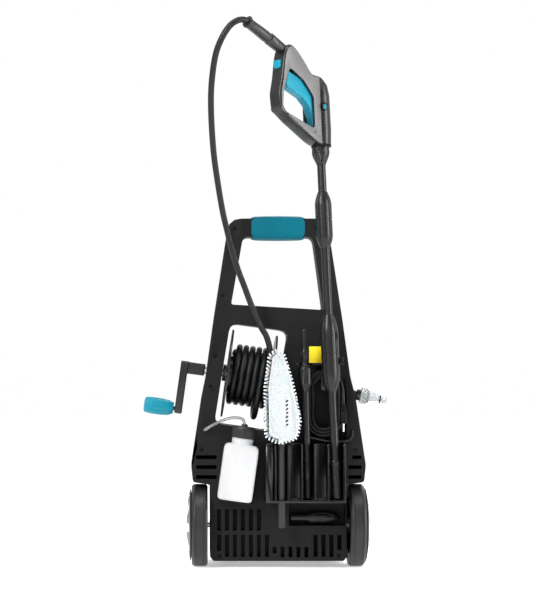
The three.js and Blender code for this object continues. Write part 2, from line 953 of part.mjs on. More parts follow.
// A half of the gun's handle: walls on one side of its middle plane.
function gunHalfShell(low, high) {
  const body = slab(gunCorners, -gunHalf, gunHalf, 2).add(
    turned(barrelProfile, { at: [-3, 0, 0], segments: 14 }),
  );
  const part = block([-100, low, 700], [300, high, 1200]);
  return cut(
    body.intersect(part),
    slab(loopCorners, -60, 60, 2),
    gunSwept,
    rod(buttonRadius + gap, -40, 40, { axis: "y", at: [buttonPlace[0], 0, buttonPlace[1]], segments: 16 }),
    block(
      [releasePlace[0] - 14, -releaseHalf[0] - gap, releasePlace[1] - releaseHalf[1] - gap],
      [releasePlace[0] + 40, releaseHalf[0] + gap, releasePlace[1] + releaseHalf[1] + gap],
    ),
    rod(lanceBore, 800, 838, { segments: 12 }),
  );
}

const panelThick = 2.6;
const leftShell = cut(
  gunHalfShell(gap / 2, 60),
  slab(grown(gunCorners, 5), gunHalf - panelThick, 60).subtract(
    slab([[-60, 700], [13, 700], [13, 990], [-60, 990]], 0, 90),
  ),
);
piece("gun_shell_left", leftShell, "satinBlack", gun);
piece("gun_shell_right", gunHalfShell(-60, -gap / 2), "satinBlack", gun);

const panelBody = cut(
  slab(grown(gunCorners, -1), gunHalf - panelThick + gap, gunHalf + 0.6, 4),
  slab(loopCorners, -60, 60, 4),
  slab([[-60, 700], [13 + gap, 700], [13 + gap, 990], [-60, 990]], 0, 90),
);
piece("gun_side_panel", panelBody, "panelGrey", gun);

const trigger = cut(
  slab(triggerCorners, -triggerHalf, triggerHalf, 2),
  rod(2.5, -40, 40, { axis: "y", at: [triggerPivot[0], 0, triggerPivot[1]], segments: 12 }),
);
piece("gun_trigger", trigger, "teal", gun);
piece("gun_safety_button", rod(buttonRadius, -20, 26, {
  axis: "y",
  at: [buttonPlace[0], 0, buttonPlace[1]],
  segments: 16,
}), "teal", gun);
const release = slab(
  [
    [releasePlace[0] - 9, releasePlace[1] - releaseHalf[1]],
    [releasePlace[0] + 8, releasePlace[1] - releaseHalf[1], 4],
    [releasePlace[0] + 11, releasePlace[1] + releaseHalf[1] - 4, 5],
    [releasePlace[0] - 9, releasePlace[1] + releaseHalf[1]],
  ],
  -releaseHalf[0],
  releaseHalf[0],
);
piece("hose_release_button", release, "teal", gun);

// Hose connector: a stepped sleeve on the end of the grip, tilted with the handle.
const connectorStart = [124, 0, 1030];
const connectorAngle = Math.atan2(47, 109);
const connectorLength = 119;
const connector = placed(connectorStart);
connector.rotation.set(0, Math.PI / 2 - connectorAngle, 0);
gun.add(connector);
piece("hose_connector", turned(
  [
    [0, 4],
    [12, 4],
    [13.5, 8],
    [14, 42],
    [12, 46],
    [12, 50],
    [13.5, 54],
    [12.5, 84],
    [12.5, connectorLength - 8],
    [14, connectorLength - 3],
    [14, connectorLength],
    [0, connectorLength],
  ],
  { segments: 14 },
), "satinBlack", connector);

// ---------------------------------------------------------------- spare lance

const spare = placed(spareBase, spareLean);
washer.add(spare);
piece("spare_nozzle", turned(
  [
    [0, 0],
    [7, 0],
    [9, 3],
    [spareRadius - 0.4, 40],
    [spareRadius, 86 - gap],
    [0, 86 - gap],
  ],
  { segments: 18 },
), "satinBlack", spare);
const spareRod = joined(
  turned(
    [
      [0, 86],
      [spareRadius - 1, 86],
      [spareRadius - 1, 252],
      [spareCouplingRadius - 0.5, 266],
      [spareCouplingRadius, 300],
      [spareCouplingRadius - 1, 305],
      [8, 311],
      [7, 326],
      [8.5, 330],
      [8.5, 342],
      [6, 346],
      [6, 394],
      [0, 394],
    ],
    { segments: 18 },
  ),
  block([-10, -3, 331], [10, 3, 341]),
);
piece("spare_lance", spareRod, "satinBlack", spare);

// ---------------------------------------------------------------- accessory tray and clip

const pocketWalls = [
  [trayLeft, 15],
  [-11.5, 4.5],
  [stemX + stemRadius + 2.6, rib],
  [49.3, rib],
  [79, rib],
  [110.5, 3.8],
  [147.2, trayRight - 147.2],
];

function accessoryTray() {
  const back = block([trayLeft, -64, trayBottomZ], [trayRight, trayBackY, trayTopZ]);
  const floor = block([trayLeft, trayRearY, trayBottomZ], [trayRight, -63, trayBottomZ + 6]);
  const ribs = pocketWalls.map(([x, thick]) =>
    beam(
      [
        [-63, trayBottomZ + 1],
        [-63, trayTopZ],
        [trayRearY + 6, trayTopZ],
        [trayRearY, trayTopZ - 8],
        [trayRearY, trayBottomZ + 1],
      ].reverse(),
      x,
      x + thick,
    ),
  );
  const stemHole = rod(stemRadius + 1.2, 100, 200, { at: [stemX, -96, 0], segments: 16 });
  return cut(joined(back, floor, ...ribs), stemHole);
}
piece("accessory_tray", accessoryTray(), "glossBlack");

// Clip: a bar off the rear face with an open hook for each lance, and an upturned end.
const clipZ = 476;
const clipFrontY = brushBackY + 0.6;
function lanceXAt(z) {
  return lanceBase[0] + Math.tan(lanceLean) * (z - lanceBase[2]);
}
function spareXAt(z) {
  return spareBase[0] + Math.tan(spareLean) * (z - spareBase[2]);
}
function lanceClip() {
  const bar = block([36, clipFrontY, clipZ - 2.5], [146, -64, clipZ + 2.5]).add(
    block([76, -70, clipZ - 2.5], [100, rearY - gap, clipZ + 2.5]),
  );
  const end = block([143, clipFrontY, clipZ - 2.5], [147, -70, clipZ + 14]);
  const big = lowerCouplingRadius + 1.3;
  const small = spareCouplingRadius + 1.5;
  const lanceX = lanceXAt(clipZ);
  const spareX = spareXAt(clipZ);
  return cut(
    bar.add(end),
    rod(big, clipZ - 20, clipZ + 30, { at: [lanceX, lanceBase[1], 0], segments: 24 }),
    block([lanceX - big + 4, -130, clipZ - 20], [lanceX + big - 4, lanceBase[1], clipZ + 8]),
    rod(small, clipZ - 20, clipZ + 30, { at: [spareX, spareBase[1], 0], segments: 20 }),
    block([spareX - small + 3, -130, clipZ - 20], [spareX + small - 3, spareBase[1], clipZ + 8]),
  );
}
piece("lance_clip", lanceClip(), "glossBlack");

// ---------------------------------------------------------------- wash brush

const brushCorners = [
  [-34, 308, 14],
  [0, 292, 22],
  [40, 304, 22],
  [48, 346, 20],
  [28, 440, 40],
  [10, 498, 16],
  [-8, 510, 12],
  [-26, 496, 14],
  [-36, 420, 40],
];
const brushPlateY = -114;
const bristleY = -152;
const brushBack = joined(
  slab(grown(brushCorners, -5), brushPlateY, brushBackY),
  rod(stemRadius, 97, 332, { at: [stemX, -96, 0], segments: 16 }),
  block([stemX - 9, brushBackY - 2, 300], [stemX + 9, -96, 334]),
);
piece("brush_back", brushBack, "satinBlack");
piece("brush_bristles", slab(brushCorners, bristleY, brushPlateY - gap), "bristle");

// ---------------------------------------------------------------- accessory nozzle in its recess

piece("accessory_nozzle", turned(
  [
    [0, 29],
    [9, 29],
    [9.5, 66],
    [12, 70],
    [13.5, 78],
    [13.5, 112],
    [10, 130],
    [6, 140],
    [0, 146],
  ],
  { axis: "x", at: [0, -43, 116], segments: 20 },
), "satinBlack");

// ---------------------------------------------------------------- detergent bottle

const bottle = placed(bottleCentre, bottleTilt);
washer.add(bottle);
const halfW = bottleWidth / 2;
const halfH = bottleHeight / 2;
const bottleBody = joined(
  slab(
    [
      [-halfW, -halfH, 8],
      [halfW, -halfH, 8],
      [halfW, halfH, 12],
      [-halfW, halfH, 12],
    ],
    -bottleDepth / 2,
    bottleDepth / 2,
    4,
  ),
  rod(neckRadius, halfH - 1, halfH + 14, { segments: 24 }),
);
piece("detergent_bottle", bottleBody, "bottle", bottle);
piece("bottle_cap", turned(
  [
    [0, halfH + 14 + gap],
    [capRadius, halfH + 14 + gap],
    [capRadius, halfH + 8 + capHeight],
    [capRadius - 4, halfH + 14 + capHeight],
    [0, halfH + 14 + capHeight],
  ],
  { segments: 24 },
), "satinBlack", bottle);

// Suction tube from the body to the middle of the cap.
const capTopH = halfH + 14 + capHeight + gap;
const capTop = [
  bottleCentre[0] + Math.sin(bottleTilt) * capTopH,
  bottleCentre[1],
  bottleCentre[2] + Math.cos(bottleTilt) * capTopH,
];
const suctionRoute = [
  [-172, lowerRearY + 8, 322],
  [-172, lowerRearY - 6, 322],
  [-162, -72, 329],
  [-136, -82, 343],
  [-110, capTop[1], capTop[2] + 19],
  [capTop[0] - 5, capTop[1], capTop[2] + 16],
  [capTop[0] + Math.sin(bottleTilt), capTop[1], capTop[2] + 1.4],
];
piece("suction_tube", tube(suctionRoute, suctionRadius, 16, 8), "clear");

// ---------------------------------------------------------------- water inlet

const inlet = placed(inletCentre, inletTilt);
washer.add(inlet);
piece("inlet_collar", turned(
  [[0, -14], [9, -14], [9, 7], [13.5, 8], [13.5, 16], [0, 16]],
  { axis: "x", segments: 20 },
), "glossBlack", inlet);
piece("inlet_nut", ring(8, 19, 16 + gap, 32, { axis: "x", segments: 24 }), "clear", inlet);
piece("inlet_filter_bowl", turned(
  [
    [0, 16 + 2 * gap],
    [8 - gap, 16 + 2 * gap],
    [8 - gap, 32 + gap],
    [14, 32 + gap],
    [13, 44],
    [10.5, 58],
    [7.5, 60],
    [7.5, 70],
    [8.5, 72],
    [8.5, 77],
    [6, 80],
    [0, 80],
  ],
  { axis: "x", segments: 12 },
), "clear", inlet);

// ---------------------------------------------------------------- power cable storage

const hookPlace = [112, 428];
const hookTop = joined(
  rod(11, -65, rearY - gap, { axis: "y", at: [hookPlace[0], 0, hookPlace[1]], segments: 20 }),
  slab(
    [
      [hookPlace[0] - 15, hookPlace[1] - 14, 8],
      [hookPlace[0] + 15, hookPlace[1] - 14, 8],
      [hookPlace[0] + 13, hookPlace[1] + 36, 12],
      [hookPlace[0] - 13, hookPlace[1] + 36, 12],
    ],
    -69.5,
    -65 - gap,
  ),
  rod(7, -66, -64, { axis: "y", at: [hookPlace[0], 0, hookPlace[1]], segments: 12 }),
);
piece("cable_hook_top", hookTop, "glossBlack");

// Lower hook: a wide upturned cradle that the loops rest in.
function cableHookBottom() {
  const strip = slab(
    [
      [60, 318, 2],
      [70, 303, 8],
      [112, 294.5, 20],
      [150, 293, 8],
      [171, 298, 12],
      [175, 322, 2],
      [170, 322, 2],
      [167, 302, 8],
      [150, 298, 8],
      [112, 299.5, 20],
      [74, 308, 8],
      [65, 320, 2],
    ],
    -72,
    rearY - gap,
  );
  const pastNiche = block([nicheRight - 2, lowerRearY - gap, 280], [190, 0, 340]);
  const behindLeftEnd = block([50, -50, 260], [76, 0, 340]);
  return cut(strip, pastNiche, behindLeftEnd);
}

piece("cable_hook_bottom", cableHookBottom(), "glossBlack");

function racetrack(width, height) {
  const radius = width / 2;
  return [
    [-width / 2, -height / 2, radius],
    [width / 2, -height / 2, radius],
    [width / 2, height / 2, radius],
    [-width / 2, height / 2, radius],
  ].map(([x, z, r]) => [cableCoilCentre[0] + x, cableCoilCentre[2] + z, r]);
}
const coilLow = cableCoilCentre[1] - cableCoilDepth / 2;
const coilHigh = cableCoilCentre[1] + cableCoilDepth / 2;
const cableCoil = cut(
  slab(racetrack(cableCoilWidth, cableCoilHeight), coilLow, coilHigh, 6),
  slab(
    racetrack(cableCoilWidth - 2 * cableCoilBand, cableCoilHeight - 2 * cableCoilBand),
    coilLow - 5,
    coilHigh + 5,
    6,
  ),
);
piece("cable_coil", cableCoil, "hose", cords);

const glandPlace = [130, -42];
piece("cable_gland", joined(
  block([glandPlace[0] - 11, -53, 486], [glandPlace[0] + 11, rearY - gap, 510]),
  turned([[0, 466], [5.5, 466], [9, 487], [0, 487]], { at: [glandPlace[0], glandPlace[1], 0], segments: 12 }),
), "rubber", cords);

const plugPlace = [148.5, -84];
const plugTop = 384;
const leadRoute = [
  [141, coilLow - 0.8, 430],
  [142, coilLow - 8, 431],
  [147, plugPlace[1] + 5, 424],
  [plugPlace[0], plugPlace[1], 408],
  [plugPlace[0], plugPlace[1], plugTop + gap],
];
piece("cable_lead", tube(leadRoute, cableRadius, 12, 8), "hose", cords);
const plugBody = joined(
  turned([[0, plugTop], [6, plugTop], [8, plugTop - 14], [8, plugTop - 16], [0, plugTop - 16]], {
    at: [...plugPlace, 0],
    segments: 12,
  }),
  slab(
    [
      [plugPlace[0] - 8.5, 338, 2],
      [plugPlace[0] + 8.5, 338, 2],
      [plugPlace[0] + 8, 368.5, 3],
      [plugPlace[0] - 8, 368.5, 3],
    ],
    plugPlace[1] - 16,
    plugPlace[1] + 16,
  ),
  ...[-9.5, 9.5].map((y) => rod(2.4, 319, 339, { at: [plugPlace[0], plugPlace[1] + y, 0], segments: 10 })),
);
piece("mains_plug", plugBody, "rubber", cords);

piece("hose_free", hoseTube, "hose", cords);

// ---------------------------------------------------------------- origin

// The base's middle, under the object without its cords, is the origin.
washer.updateMatrixWorld(true);
const frameBox = new THREE.Box3();
const corner = new THREE.Vector3();
washer.traverse((node) => {
  if (!node.isMesh || node.name === "hose_coil") return;
  const places = node.geometry.attributes.position;
  for (let i = 0; i < places.count; i += 1) {
    frameBox.expandByPoint(corner.fromBufferAttribute(places, i).applyMatrix4(node.matrixWorld));
  }
});
const middle = frameBox.getCenter(new THREE.Vector3());
washer.add(cords);
washer.position.set(-middle.x, -middle.y, -frameBox.min.z);

export default washer;
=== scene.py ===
import json
import math

import bmesh
import bpy
import numpy as np
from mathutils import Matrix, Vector

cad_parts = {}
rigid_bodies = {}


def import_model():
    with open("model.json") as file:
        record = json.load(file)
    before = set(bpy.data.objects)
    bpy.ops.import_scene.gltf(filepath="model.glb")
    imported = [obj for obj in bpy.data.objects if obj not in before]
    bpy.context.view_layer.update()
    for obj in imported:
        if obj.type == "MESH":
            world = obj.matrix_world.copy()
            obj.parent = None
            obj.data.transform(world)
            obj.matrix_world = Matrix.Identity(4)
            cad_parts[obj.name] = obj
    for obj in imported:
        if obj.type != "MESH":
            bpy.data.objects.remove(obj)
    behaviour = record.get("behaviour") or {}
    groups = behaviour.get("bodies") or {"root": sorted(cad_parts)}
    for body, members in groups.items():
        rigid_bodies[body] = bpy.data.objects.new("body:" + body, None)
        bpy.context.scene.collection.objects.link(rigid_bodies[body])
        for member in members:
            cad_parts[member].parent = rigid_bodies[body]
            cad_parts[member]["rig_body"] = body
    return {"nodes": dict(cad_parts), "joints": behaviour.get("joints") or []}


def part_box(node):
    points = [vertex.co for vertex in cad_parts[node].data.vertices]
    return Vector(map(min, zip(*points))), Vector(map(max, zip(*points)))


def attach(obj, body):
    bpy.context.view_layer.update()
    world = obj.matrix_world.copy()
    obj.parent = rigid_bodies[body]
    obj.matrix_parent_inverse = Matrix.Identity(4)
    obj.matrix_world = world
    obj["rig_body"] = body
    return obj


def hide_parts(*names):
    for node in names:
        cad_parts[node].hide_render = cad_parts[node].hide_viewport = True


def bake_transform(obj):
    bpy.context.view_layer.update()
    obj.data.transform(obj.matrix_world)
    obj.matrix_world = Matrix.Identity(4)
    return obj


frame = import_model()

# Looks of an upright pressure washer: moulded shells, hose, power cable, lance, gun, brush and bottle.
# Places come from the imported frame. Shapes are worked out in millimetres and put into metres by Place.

MM = 0.001
JOINTS = {joint["name"]: joint for joint in frame["joints"]}
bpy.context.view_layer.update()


# ---------------------------------------------------------------- places

def corners_of(node):
    """Lowest and highest corner of a CAD node, as arrays in metres."""
    low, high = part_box(node)
    return np.array(low), np.array(high)


def axle_origin():
    """The design's zero point: under the middle of the wheels' track, and 12 mm to the front of the axle."""
    low, high = corners_of("wheel_axle")
    tyre_low, tyre_high = corners_of("tyre_left")
    return np.array([(low[0] + high[0]) / 2, (tyre_low[1] + tyre_high[1]) / 2 + 12 * MM, 0.0])


class Place:
    """A local frame: an origin in metres and three axes. Called on points in millimetres, it gives metres."""

    def __init__(self, origin, x=(1, 0, 0), y=(0, 1, 0), z=(0, 0, 1)):
        self.origin = np.array(origin, float)
        self.axes = np.array([x, y, z], float)

    def __call__(self, points):
        return self.origin + MM * np.asarray(points, float) @ self.axes

    def turned(self, degrees):
        """The same frame turned about its own z."""
        c, s = math.cos(math.radians(degrees)), math.sin(math.radians(degrees))
        x, y, z = self.axes
        return Place(self.origin, c * x + s * y, c * y - s * x, z)

    def moved(self, point):
        """The same axes at a point given in this frame, in millimetres."""
        return Place(self(point), *self.axes)

    def along(self, direction):
        """A frame here whose z runs along a direction given in this frame."""
        z = np.array(direction, float) @ self.axes
        z = z / np.linalg.norm(z)
        side = np.array([0.0, 1.0, 0.0]) if abs(z[1]) < 0.9 else np.array([1.0, 0.0, 0.0])
        x = np.cross(side, z)
        x = x / np.linalg.norm(x)
        return Place(self.origin, x, np.cross(z, x), z)


DESIGN = Place(axle_origin())


def design_at(x, y, z):
    """The design's axes with their origin at a point."""
    return DESIGN.moved([x, y, z])


def leaning(z_axis, origin):
    """A frame that leans in the XZ plane, with its z along z_axis."""
    z = np.array(z_axis, float)
    y = np.array([0.0, 1.0, 0.0])
    return Place(origin, np.cross(y, z), y, z)


def lying(x_axis, origin):
    """A frame that leans in the XZ plane, with its x along x_axis."""
    x = np.array(x_axis, float)
    y = np.array([0.0, 1.0, 0.0])
    return Place(origin, x, y, np.cross(x, y))


REEL = lying(JOINTS["reel_turn"]["axis"], JOINTS["reel_turn"]["pos_m"])
LANCE = leaning(JOINTS["lance_lift"]["axis"], JOINTS["nozzle_twist"]["pos_m"])
GUN = LANCE.turned(226)
SPARE = leaning(JOINTS["spare_lance_lift"]["axis"], DESIGN([67, -84, 163]))
INLET = lying(JOINTS["inlet_nut_spin"]["axis"], DESIGN([178, -20, 406]))
BOTTLE = lying(JOINTS["reel_turn"]["axis"], DESIGN([-95, -86.5, 224.6]))
CONNECTOR = GUN.moved([124, 0, 1030]).along([109, 0, 47])


# ---------------------------------------------------------------- camera and lamps

# Eye of the view, in the design's frame: 4 m behind the washer's rear face, a little to its left.
EYE = DESIGN([-190, -4030, 465])
VIEW_HEIGHT = 1.431
VIEW_DISTANCE = 4.0
SENSOR = 36.0
SHIFT = (0.163, 0.1507)  # metres the middle of the view lies right of and above the eye's line


def camera():
    """A level view along the design's +Y, with a long lens."""
    data = bpy.data.cameras.new("view")
    data.sensor_width = SENSOR
    data.lens = SENSOR * VIEW_DISTANCE / VIEW_HEIGHT
    data.shift_x = SHIFT[0] / VIEW_HEIGHT
    data.shift_y = SHIFT[1] / VIEW_HEIGHT
    data.clip_end = 60.0
    made = bpy.data.objects.new("view", data)
    made.location = EYE
    made.rotation_euler = (math.pi / 2, 0, 0)
    bpy.context.scene.collection.objects.link(made)
    bpy.context.scene.camera = made


def soft_light(name, place, target, size, power):
    """A rectangular lamp at place that faces target."""
    data = bpy.data.lights.new(name, "AREA")
    data.shape = "RECTANGLE"
    data.size, data.size_y = size
    data.energy = power
    made = bpy.data.objects.new(name, data)
    made.location = place
    away = Vector(place) - Vector(target)
    made.rotation_euler = away.to_track_quat("Z", "Y").to_euler()
    bpy.context.scene.collection.objects.link(made)


camera()


# ---------------------------------------------------------------- material recipes

class Value:
    """A number, colour or vector in a material. Arithmetic on a number adds Math nodes."""

    def __init__(self, recipe, socket):
        self.recipe = recipe
        self.socket = socket

    def joined(self, operation, first, second):
        return self.recipe.node("ShaderNodeMath", {"operation": operation}, {0: first, 1: second})

    def __add__(self, other):
        return self.joined("ADD", self, other)

    def __radd__(self, other):
        return self.joined("ADD", other, self)

    def __mul__(self, other):
        return self.joined("MULTIPLY", self, other)

    def __rmul__(self, other):
        return self.joined("MULTIPLY", other, self)


class Recipe:
    """One material: nodes that end in a Principled surface."""

    def __init__(self, name):
        self.material = bpy.data.materials.new(name)
        self.material.use_nodes = True
        self.tree = self.material.node_tree
        self.tree.nodes.clear()
        self.objects = self.node("ShaderNodeTexCoord", {}, {}, "Object")

    def node(self, kind, settings, values, output=0):
        """Adds a node, sets its settings, then its sockets from numbers or Values."""
        made = self.tree.nodes.new(kind)
        for name, value in settings.items():
            if name == "stops":
                self.set_stops(made.color_ramp, value)
            else:
                setattr(made, name, value)
        for name, value in values.items():
            if isinstance(value, Value):
                self.tree.links.new(value.socket, made.inputs[name])
            else:
                made.inputs[name].default_value = value
        return Value(self, made.outputs[output])

    @staticmethod
    def set_stops(ramp, stops):
        """Stops of (place, shade) for a ramp of two or more grey stops."""
        while len(ramp.elements) < len(stops):
            ramp.elements.new(0.5)
        for element, (place, shade) in zip(ramp.elements, stops):
            element.position = place
            element.color = (shade, shade, shade, 1)

    def noise(self, scale, detail=2.0, stretch=(1, 1, 1)):
        """Smooth noise with that many features a metre, stretched along an axis."""
        vector = self.node("ShaderNodeMapping", {}, {"Vector": self.objects, "Scale": stretch})
        return self.node("ShaderNodeTexNoise", {}, {"Vector": vector, "Scale": scale, "Detail": detail}, "Fac")

    def cells(self, scale):
        """Distance to the nearest point of a random scatter with that many points a metre."""
        return self.node("ShaderNodeTexVoronoi", {}, {"Vector": self.objects, "Scale": scale}, "Distance")

    def ramp(self, value, stops):
        return self.node("ShaderNodeValToRGB", {"stops": stops}, {"Fac": value})

    def mixed(self, factor, first, second):
        """A colour between two colours."""
        values = {0: factor, 6: self.colour(first), 7: self.colour(second)}
        return self.node("ShaderNodeMix", {"data_type": "RGBA"}, values, 2)

    @staticmethod
    def colour(value):
        return value if isinstance(value, Value) else (*value, 1.0)

    def bump(self, height, depth):
        """A normal from a height between 0 and 1 that stands for depth millimetres."""
        return self.node("ShaderNodeBump", {}, {"Height": height, "Strength": 1.0, "Distance": depth * MM})

    def finish(self, **sockets):
        """Ends the recipe with a Principled surface. Names use _ for a space."""
        values = {name.replace("_", " "): value for name, value in sockets.items()}
        values["Base Color"] = self.colour(values["Base Color"])
        shader = self.node("ShaderNodeBsdfPrincipled", {}, values)
        output = self.tree.nodes.new("ShaderNodeOutputMaterial")
        self.tree.links.new(shader.socket, output.inputs["Surface"])
        return self.material


def moulded(name, colour, roughness, grain=0.05, specular=0.3, spread=0.25, coat=0.0):
    """Moulded plastic: fine grain, slow changes of gloss, and a paler bloom here and there."""
    recipe = Recipe(name)
    bloom = recipe.noise(9, 3)
    pores = recipe.noise(420, 2)
    lighter = tuple(min(1.0, part * (1 + spread) + 0.002) for part in colour)
    darker = tuple(part * (1 - spread) for part in colour)
    return recipe.finish(
        Base_Color=recipe.mixed(bloom, darker, lighter),
        Roughness=roughness * (0.85 + 0.3 * bloom),
        Normal=recipe.bump(pores, grain),
        Specular_IOR_Level=specular,
        Coat_Weight=coat,
        Coat_Roughness=0.12,
    )


def soft_grip():
    """Teal soft-touch rubber with a fine pimpled skin."""
    recipe = Recipe("grip_rubber")
    pimples = recipe.ramp(recipe.cells(420), [(0.0, 1.0), (0.45, 0.0)])
    wear = recipe.noise(14, 3)
    return recipe.finish(
        Base_Color=recipe.mixed(wear, (0.001, 0.082, 0.120), (0.002, 0.130, 0.178)),
        Roughness=0.5 + 0.2 * wear,
        Normal=recipe.bump(pimples, 0.12),
        Specular_IOR_Level=0.08,
    )


def wound_rubber(name, colour, pitch):
    """Hose or cable skin: fine marks along the length, from the tube's own UV map, and a slow change of gloss."""
    recipe = Recipe(name)
    uv = recipe.node("ShaderNodeUVMap", {"uv_map": "along"}, {})
    bands = recipe.node("ShaderNodeTexWave", {}, {"Vector": uv, "Scale": pitch, "Distortion": 0.6}, "Fac")
    scuff = recipe.noise(60, 3)
    return recipe.finish(
        Base_Color=recipe.mixed(scuff, tuple(0.6 * part for part in colour), tuple(1.7 * part for part in colour)),
        Roughness=0.28 + 0.2 * scuff,
        Normal=recipe.bump(bands, 0.05),
        Specular_IOR_Level=0.26,
    )


def brushed_metal(name, colour, roughness):
    """Turned steel: fine rings across the axle."""
    recipe = Recipe(name)
    rings = recipe.noise(900, 2, stretch=(1, 0.05, 0.05))
    return recipe.finish(
        Base_Color=recipe.mixed(rings, tuple(0.75 * part for part in colour), colour),
        Metallic=1.0,
        Roughness=roughness * (0.7 + 0.6 * rings),
        Normal=recipe.bump(rings, 0.02),
    )


def cast_metal():
    """Rough grey castings."""
    recipe = Recipe("cast_metal")
    grit = recipe.noise(500, 4)
    return recipe.finish(
        Base_Color=recipe.mixed(grit, (0.16, 0.16, 0.17), (0.34, 0.34, 0.35)),
        Metallic=0.9,
        Roughness=0.5 + 0.25 * grit,
        Normal=recipe.bump(grit, 0.3),
    )


def milky_bottle():
    """Blown white plastic: a milky wall that lets some light through, with faint flow marks."""
    recipe = Recipe("bottle_plastic")
    flow = recipe.noise(22, 3, stretch=(1, 1, 0.25))
    return recipe.finish(
        Base_Color=recipe.mixed(flow, (0.42, 0.425, 0.435), (0.55, 0.55, 0.555)),
        Roughness=0.36 + 0.12 * flow,
        Normal=recipe.bump(recipe.noise(240, 2), 0.05),
        Specular_IOR_Level=0.4,
        Subsurface_Weight=0.35,
        Subsurface_Scale=0.01,
    )


def clear_plastic(name, tint, haze_roughness, clear=0.85):
    """A clear wall with a faint haze."""
    recipe = Recipe(name)
    haze = recipe.noise(90, 3)
    return recipe.finish(
        Base_Color=recipe.mixed(haze, tint, tuple(min(1, 1.12 * part) for part in tint)),
        Roughness=haze_roughness * (0.6 + 0.8 * haze),
        Normal=recipe.bump(haze, 0.06),
        Transmission_Weight=clear,
        IOR=1.46,
    )


def bristle_fibre():
    """White bristles, with painted shade that greys them towards their roots."""
    recipe = Recipe("bristle")
    tip = recipe.node("ShaderNodeAttribute", {"attribute_name": "tip"}, {}, "Fac")
    tone = recipe.noise(160, 2)
    # painted shade: the fibres grey towards their roots, where the tufts shade one another
    shade = recipe.mixed(tip, (0.74, 0.75, 0.76), (0.95, 0.95, 0.95))
    return recipe.finish(
        Base_Color=recipe.mixed(0.2 * tone, shade, (0.84, 0.85, 0.86)),
        Roughness=0.5 + 0.2 * tone,
        Specular_IOR_Level=0.3,
        Subsurface_Weight=0.3,
        Subsurface_Scale=0.004,
    )


def blank_plate():
    """A plain yellow plate with a slight print grain."""
    recipe = Recipe("marker_plate")
    grain = recipe.noise(300, 3)
    return recipe.finish(
        Base_Color=recipe.mixed(grain, (0.86, 0.66, 0.004), (0.95, 0.76, 0.01)),
        Roughness=0.35 + 0.2 * grain,
        Normal=recipe.bump(grain, 0.03),
    )


BLACK = (0.012, 0.012, 0.0125)
FINISH = {
    "housing": moulded("housing_plastic", (0.0065, 0.0065, 0.007), 0.56, grain=0.05, specular=0.13),
    "cover": moulded("cover_plastic", (0.007, 0.007, 0.0075), 0.6, grain=0.06, specular=0.14),
    "grip": soft_grip(),
    "foot": moulded("foot_rubber", (0.01, 0.01, 0.01), 0.8, grain=0.12),
    "cast": cast_metal(),
    "switch": moulded("switch_plastic", BLACK, 0.35, specular=0.4),
    "teal": moulded("teal_plastic", (0.003, 0.20, 0.28), 0.34, grain=0.006, specular=0.2, spread=0.12),
    "trigger": moulded("trigger_plastic", (0.006, 0.24, 0.34), 0.36, grain=0.006, specular=0.22, spread=0.10),
    "steel": brushed_metal("steel", (0.56, 0.56, 0.57), 0.28),
    "silver": brushed_metal("silver_trim", (0.86, 0.86, 0.87), 0.25),
    "tyre": moulded("tyre_plastic", (0.010, 0.010, 0.0105), 0.42, grain=0.06, specular=0.35),
    "wheel": moulded("wheel_plastic", (0.010, 0.010, 0.0105), 0.36, grain=0.01, specular=0.45),
    "reel": moulded("reel_plastic", (0.006, 0.006, 0.0065), 0.3, grain=0.01, specular=0.4),
    "hose": wound_rubber("hose_rubber", (0.005, 0.005, 0.0055), 90),
    "cable": wound_rubber("cable_rubber", (0.006, 0.006, 0.0065), 150),
    "lance": moulded("lance_plastic", (0.0045, 0.0045, 0.005), 0.34, grain=0.0015, specular=0.36),
    "gun": moulded("gun_plastic", (0.007, 0.007, 0.0075), 0.36, grain=0.0015, specular=0.42),
    "panel": moulded("gun_panel", (0.125, 0.122, 0.121), 0.42, grain=0.002, specular=0.5, spread=0.06),
    "tray": moulded("tray_plastic", (0.003, 0.003, 0.0033), 0.2, grain=0.006, specular=0.35, coat=0.12),
    "brush": moulded("brush_plastic", (0.010, 0.010, 0.0105), 0.42, specular=0.4),
    "bristle": bristle_fibre(),
    "core": moulded("bristle_core", (0.72, 0.725, 0.73), 0.8, grain=0.9, specular=0.2, spread=0.14),
    "bottle": milky_bottle(),
    "cap": moulded("cap_plastic", BLACK, 0.42, specular=0.4),
    "clear_tube": clear_plastic("clear_tube", (0.62, 0.64, 0.64), 0.14),
    "inlet": moulded("inlet_plastic", (0.008, 0.008, 0.008), 0.25, specular=0.5),
    "clear": clear_plastic("clear_plastic", (0.50, 0.53, 0.54), 0.10, 0.66),
    "grey": moulded("grey_plastic", (0.20, 0.20, 0.205), 0.4, specular=0.4, spread=0.1),
    "plate": blank_plate(),
    # black of screws, plug and seals, and also the painted shade of the vent sheets and the brush's bare line
    "dark": moulded("black_and_painted_shade", (0.0015, 0.0015, 0.0015), 0.6, specular=0.12),
}


# ---------------------------------------------------------------- surfaces

MAP_STEP = 0.004  # metres of a cord's map from one ring to the next
EDGE_ANGLE = 40  # degrees from which a CAD edge is rounded
SHARP_ANGLE = 38  # degrees from which a made edge is shaded sharp


def settle(mesh, finish):
    """Smooth shading and one material."""
    count = len(mesh.polygons)
    mesh.polygons.foreach_set("use_smooth", np.ones(count, bool))
    mesh.materials.clear()
    mesh.materials.append(FINISH[finish])


